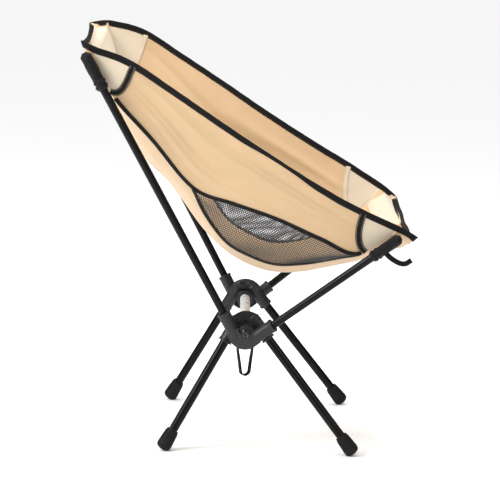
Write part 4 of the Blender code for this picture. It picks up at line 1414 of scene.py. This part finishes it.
tab = {
    "route": ((0.218, 0.2450, 0.3395), (0.225, 0.2460, 0.3330), (0.2316, 0.2468, 0.3286),
              (0.238, 0.2470, 0.3252), (0.2444, 0.2470, 0.3234), (0.2507, 0.2470, 0.3239),
              (0.259, 0.2470, 0.3295)),
    "width": 0.0085, "thick": 0.0018,
}


def makePullTab(word, side):
    path = []
    for t in spanned(0.0, 1.0, 26):
        here = curveAt(tab["route"], t)
        ahead, behind = curveAt(tab["route"], t + 0.02), curveAt(tab["route"], t - 0.02)
        run = (ahead - behind) / np.linalg.norm(ahead - behind)
        across = np.array((-run[2], 0.0, run[0]))
        origin = spot(0, (0, 0, 0))
        path.append((spot(side, here),
                     tapeSection(spot(side, here), spot(side, across) - origin,
                                 Vector((side, 0, 0)), tab["width"], tab["thick"])))
    piece = sweptPiece("pullTabWeb_" + word, path, blackTape)
    settle(piece, "seat", "webbing_black", "pull_tab_" + word)


loop = {
    "out": -0.122, "width": 0.0098, "thick": 0.0026, "topRadius": 0.0109, "bottomUp": 0.1125,
    "bottomRadius": 0.0082, "belly": 0.0128, "widest": 0.034,
    "twist": math.radians(27), "twistFrom": 0.012, "twistTo": 0.060,   # below the tube's axis
}


def halfRound(centre, radius, start):
    return [centre + radius * np.array((math.cos(angle), math.sin(angle)))
            for angle in (start + math.pi * k / 6 for k in range(7))]


def makeCarryLoop():
    centre = np.array(hinge)
    low = np.array((hinge[0] + 0.001, loop["bottomUp"] + loop["bottomRadius"]))
    stations = halfRound(centre, loop["topRadius"], 0.0)
    stations.append(centre + np.array((-loop["belly"], -loop["widest"])))
    stations += halfRound(low, loop["bottomRadius"], math.pi)
    stations.append(centre + np.array((loop["belly"], -loop["widest"])))
    count = len(stations)
    outline = []
    for k in range(count):
        four = [stations[(k + j - 1) % count] for j in range(4)]
        for f in (0.0, 0.2, 0.4, 0.6, 0.8):
            outline.append(curveAt(four, (1 + f) / 3))
    path = []
    total = len(outline)
    for k in range(total):
        run = outline[(k + 1) % total] - outline[k - 1]
        run = run / np.linalg.norm(run)
        away = Vector((0, -run[1], -run[0]))
        fall = hinge[1] - outline[k][1]
        turn = Matrix.Rotation(loop["twist"] * smoothStep(loop["twistFrom"], loop["twistTo"], fall),
                               3, "Z")
        axis = spot(1, (hinge[0], loop["out"], 0.0))
        point = axis + turn @ (spot(1, (outline[k][0], loop["out"], outline[k][1])) - axis)
        path.append((point, tapeSection(point, turn @ Vector((1, 0, 0)), turn @ away,
                                        loop["width"], loop["thick"])))
    piece = sweptPiece("carryLoopWeb", path, blackTape, closedPath=True)
    settle(piece, "loop", "webbing_black", "carry_loop")


for word, side in sides:
    for place in ("back", "front"):
        makePocket(place, word, side)
    makePullTab(word, side)
makeCarryLoop()
print("pockets, tabs and loop made")

# ---- CAD nodes that stay: cords, ferrules and end plugs
finishes = {"cord": elasticCord, "ferrule": crossTubeMetal, "tip": hubNylon}
for name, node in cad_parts.items():
    if node.hide_render:
        continue
    for word, material in finishes.items():
        if word in name:
            node.data.materials.clear()
            node.data.materials.append(material)

# ---- floor and light
studio = {
    "floorColour": (0.98, 0.98, 0.98), "floorRough": 0.06, "floorGloss": 0.05,
    "floorHalf": 30, "backdrop": 1.05,
    "world": (0.76, 0.20, 0.34),            # level, more towards +X, more towards +Z
    "worldInGloss": 0.15,                   # glossy faces see a dimmer room
    "lamps": (
        # name, place, size, power, aims at
        ("top", (0.1, -0.1, 2.4), 1.6, 36, (0.0, 0.0, 0.3)),
        ("key", (-1.2, 1.9, 1.9), 0.8, 46, (0.0, 0.0, 0.45)),
        ("back", (1.6, 1.0, 1.8), 1.2, 10, (0.0, 0.0, 0.4)),
    ),
    # seen only in reflections, for the thin lights along the tubes
    "glints": (
        ("left", (-1.5, 1.9, 1.6), 0.5, 26, (0.0, 0.0, 0.35)),
        ("right", (-1.7, -1.6, 1.6), 0.4, 12, (0.0, 0.0, 0.35)),
    ),
}


def makeRoom():
    # white for the camera; softer light from the -X side, and more of it from above
    world = bpy.data.worlds.new("studio")
    world.use_nodes = True
    nodes, links = world.node_tree.nodes, world.node_tree.links
    background = nodes["Background"]
    background.inputs["Color"].default_value = (1, 1, 1, 1)
    level, alongX, alongZ = studio["world"]
    facing = nodes.new("ShaderNodeSeparateXYZ")
    geometry = nodes.new("ShaderNodeNewGeometry")
    links.new(geometry.outputs["Incoming"], facing.inputs["Vector"])
    side = mathOf(nodes, links, "MULTIPLY", facing.outputs["X"], -alongX)
    rise = mathOf(nodes, links, "MULTIPLY", facing.outputs["Z"], -alongZ)
    soft = mathOf(nodes, links, "ADD", mathOf(nodes, links, "ADD", side, rise), level)
    path = nodes.new("ShaderNodeLightPath")
    strength = soft
    levels = (("Is Glossy Ray", studio["worldInGloss"]), ("Is Camera Ray", studio["backdrop"]))
    for output, value in levels:
        choose = nodes.new("ShaderNodeMix")
        links.new(path.outputs[output], choose.inputs["Factor"])
        links.new(strength, choose.inputs["A"])
        choose.inputs["B"].default_value = value
        strength = choose.outputs["Result"]
    links.new(strength, background.inputs["Strength"])
    return world


def makeStudio():
    # matt white with a faint even reflection
    made, nodes, links, shader = startMaterial("paleFloor", studio["floorColour"], 1.0, specular=0.0)
    polish = nodes.new("ShaderNodeBsdfGlossy")
    polish.inputs["Roughness"].default_value = studio["floorRough"]
    mixed = nodes.new("ShaderNodeMixShader")
    mixed.inputs["Fac"].default_value = studio["floorGloss"]
    links.new(shader.outputs["BSDF"], mixed.inputs[1])
    links.new(polish.outputs["BSDF"], mixed.inputs[2])
    links.new(mixed.outputs["Shader"], nodes["Material Output"].inputs["Surface"])
    half = studio["floorHalf"]
    corners = [(-half, -half, 0), (half, -half, 0), (half, half, 0), (-half, half, 0)]
    floor = pieceFrom("floor", corners, [(0, 1, 2, 3)], made, smooth=False)
    bpy.context.scene.world = makeRoom()
    for name, place, size, power, target in studio["lamps"] + studio["glints"]:
        lamp = bpy.data.lights.new(name, "AREA")
        lamp.shape, lamp.size, lamp.energy = "SQUARE", size, power
        holder = bpy.data.objects.new(name, lamp)
        holder.location = place
        holder.rotation_euler = (Vector(target) - Vector(place)).to_track_quat("-Z", "Y").to_euler()
        holder.visible_diffuse = (name, place, size, power, target) in studio["lamps"]
        bpy.context.scene.collection.objects.link(holder)
    bpy.context.scene.view_settings.view_transform = "Standard"


makeStudio()
print("studio made")
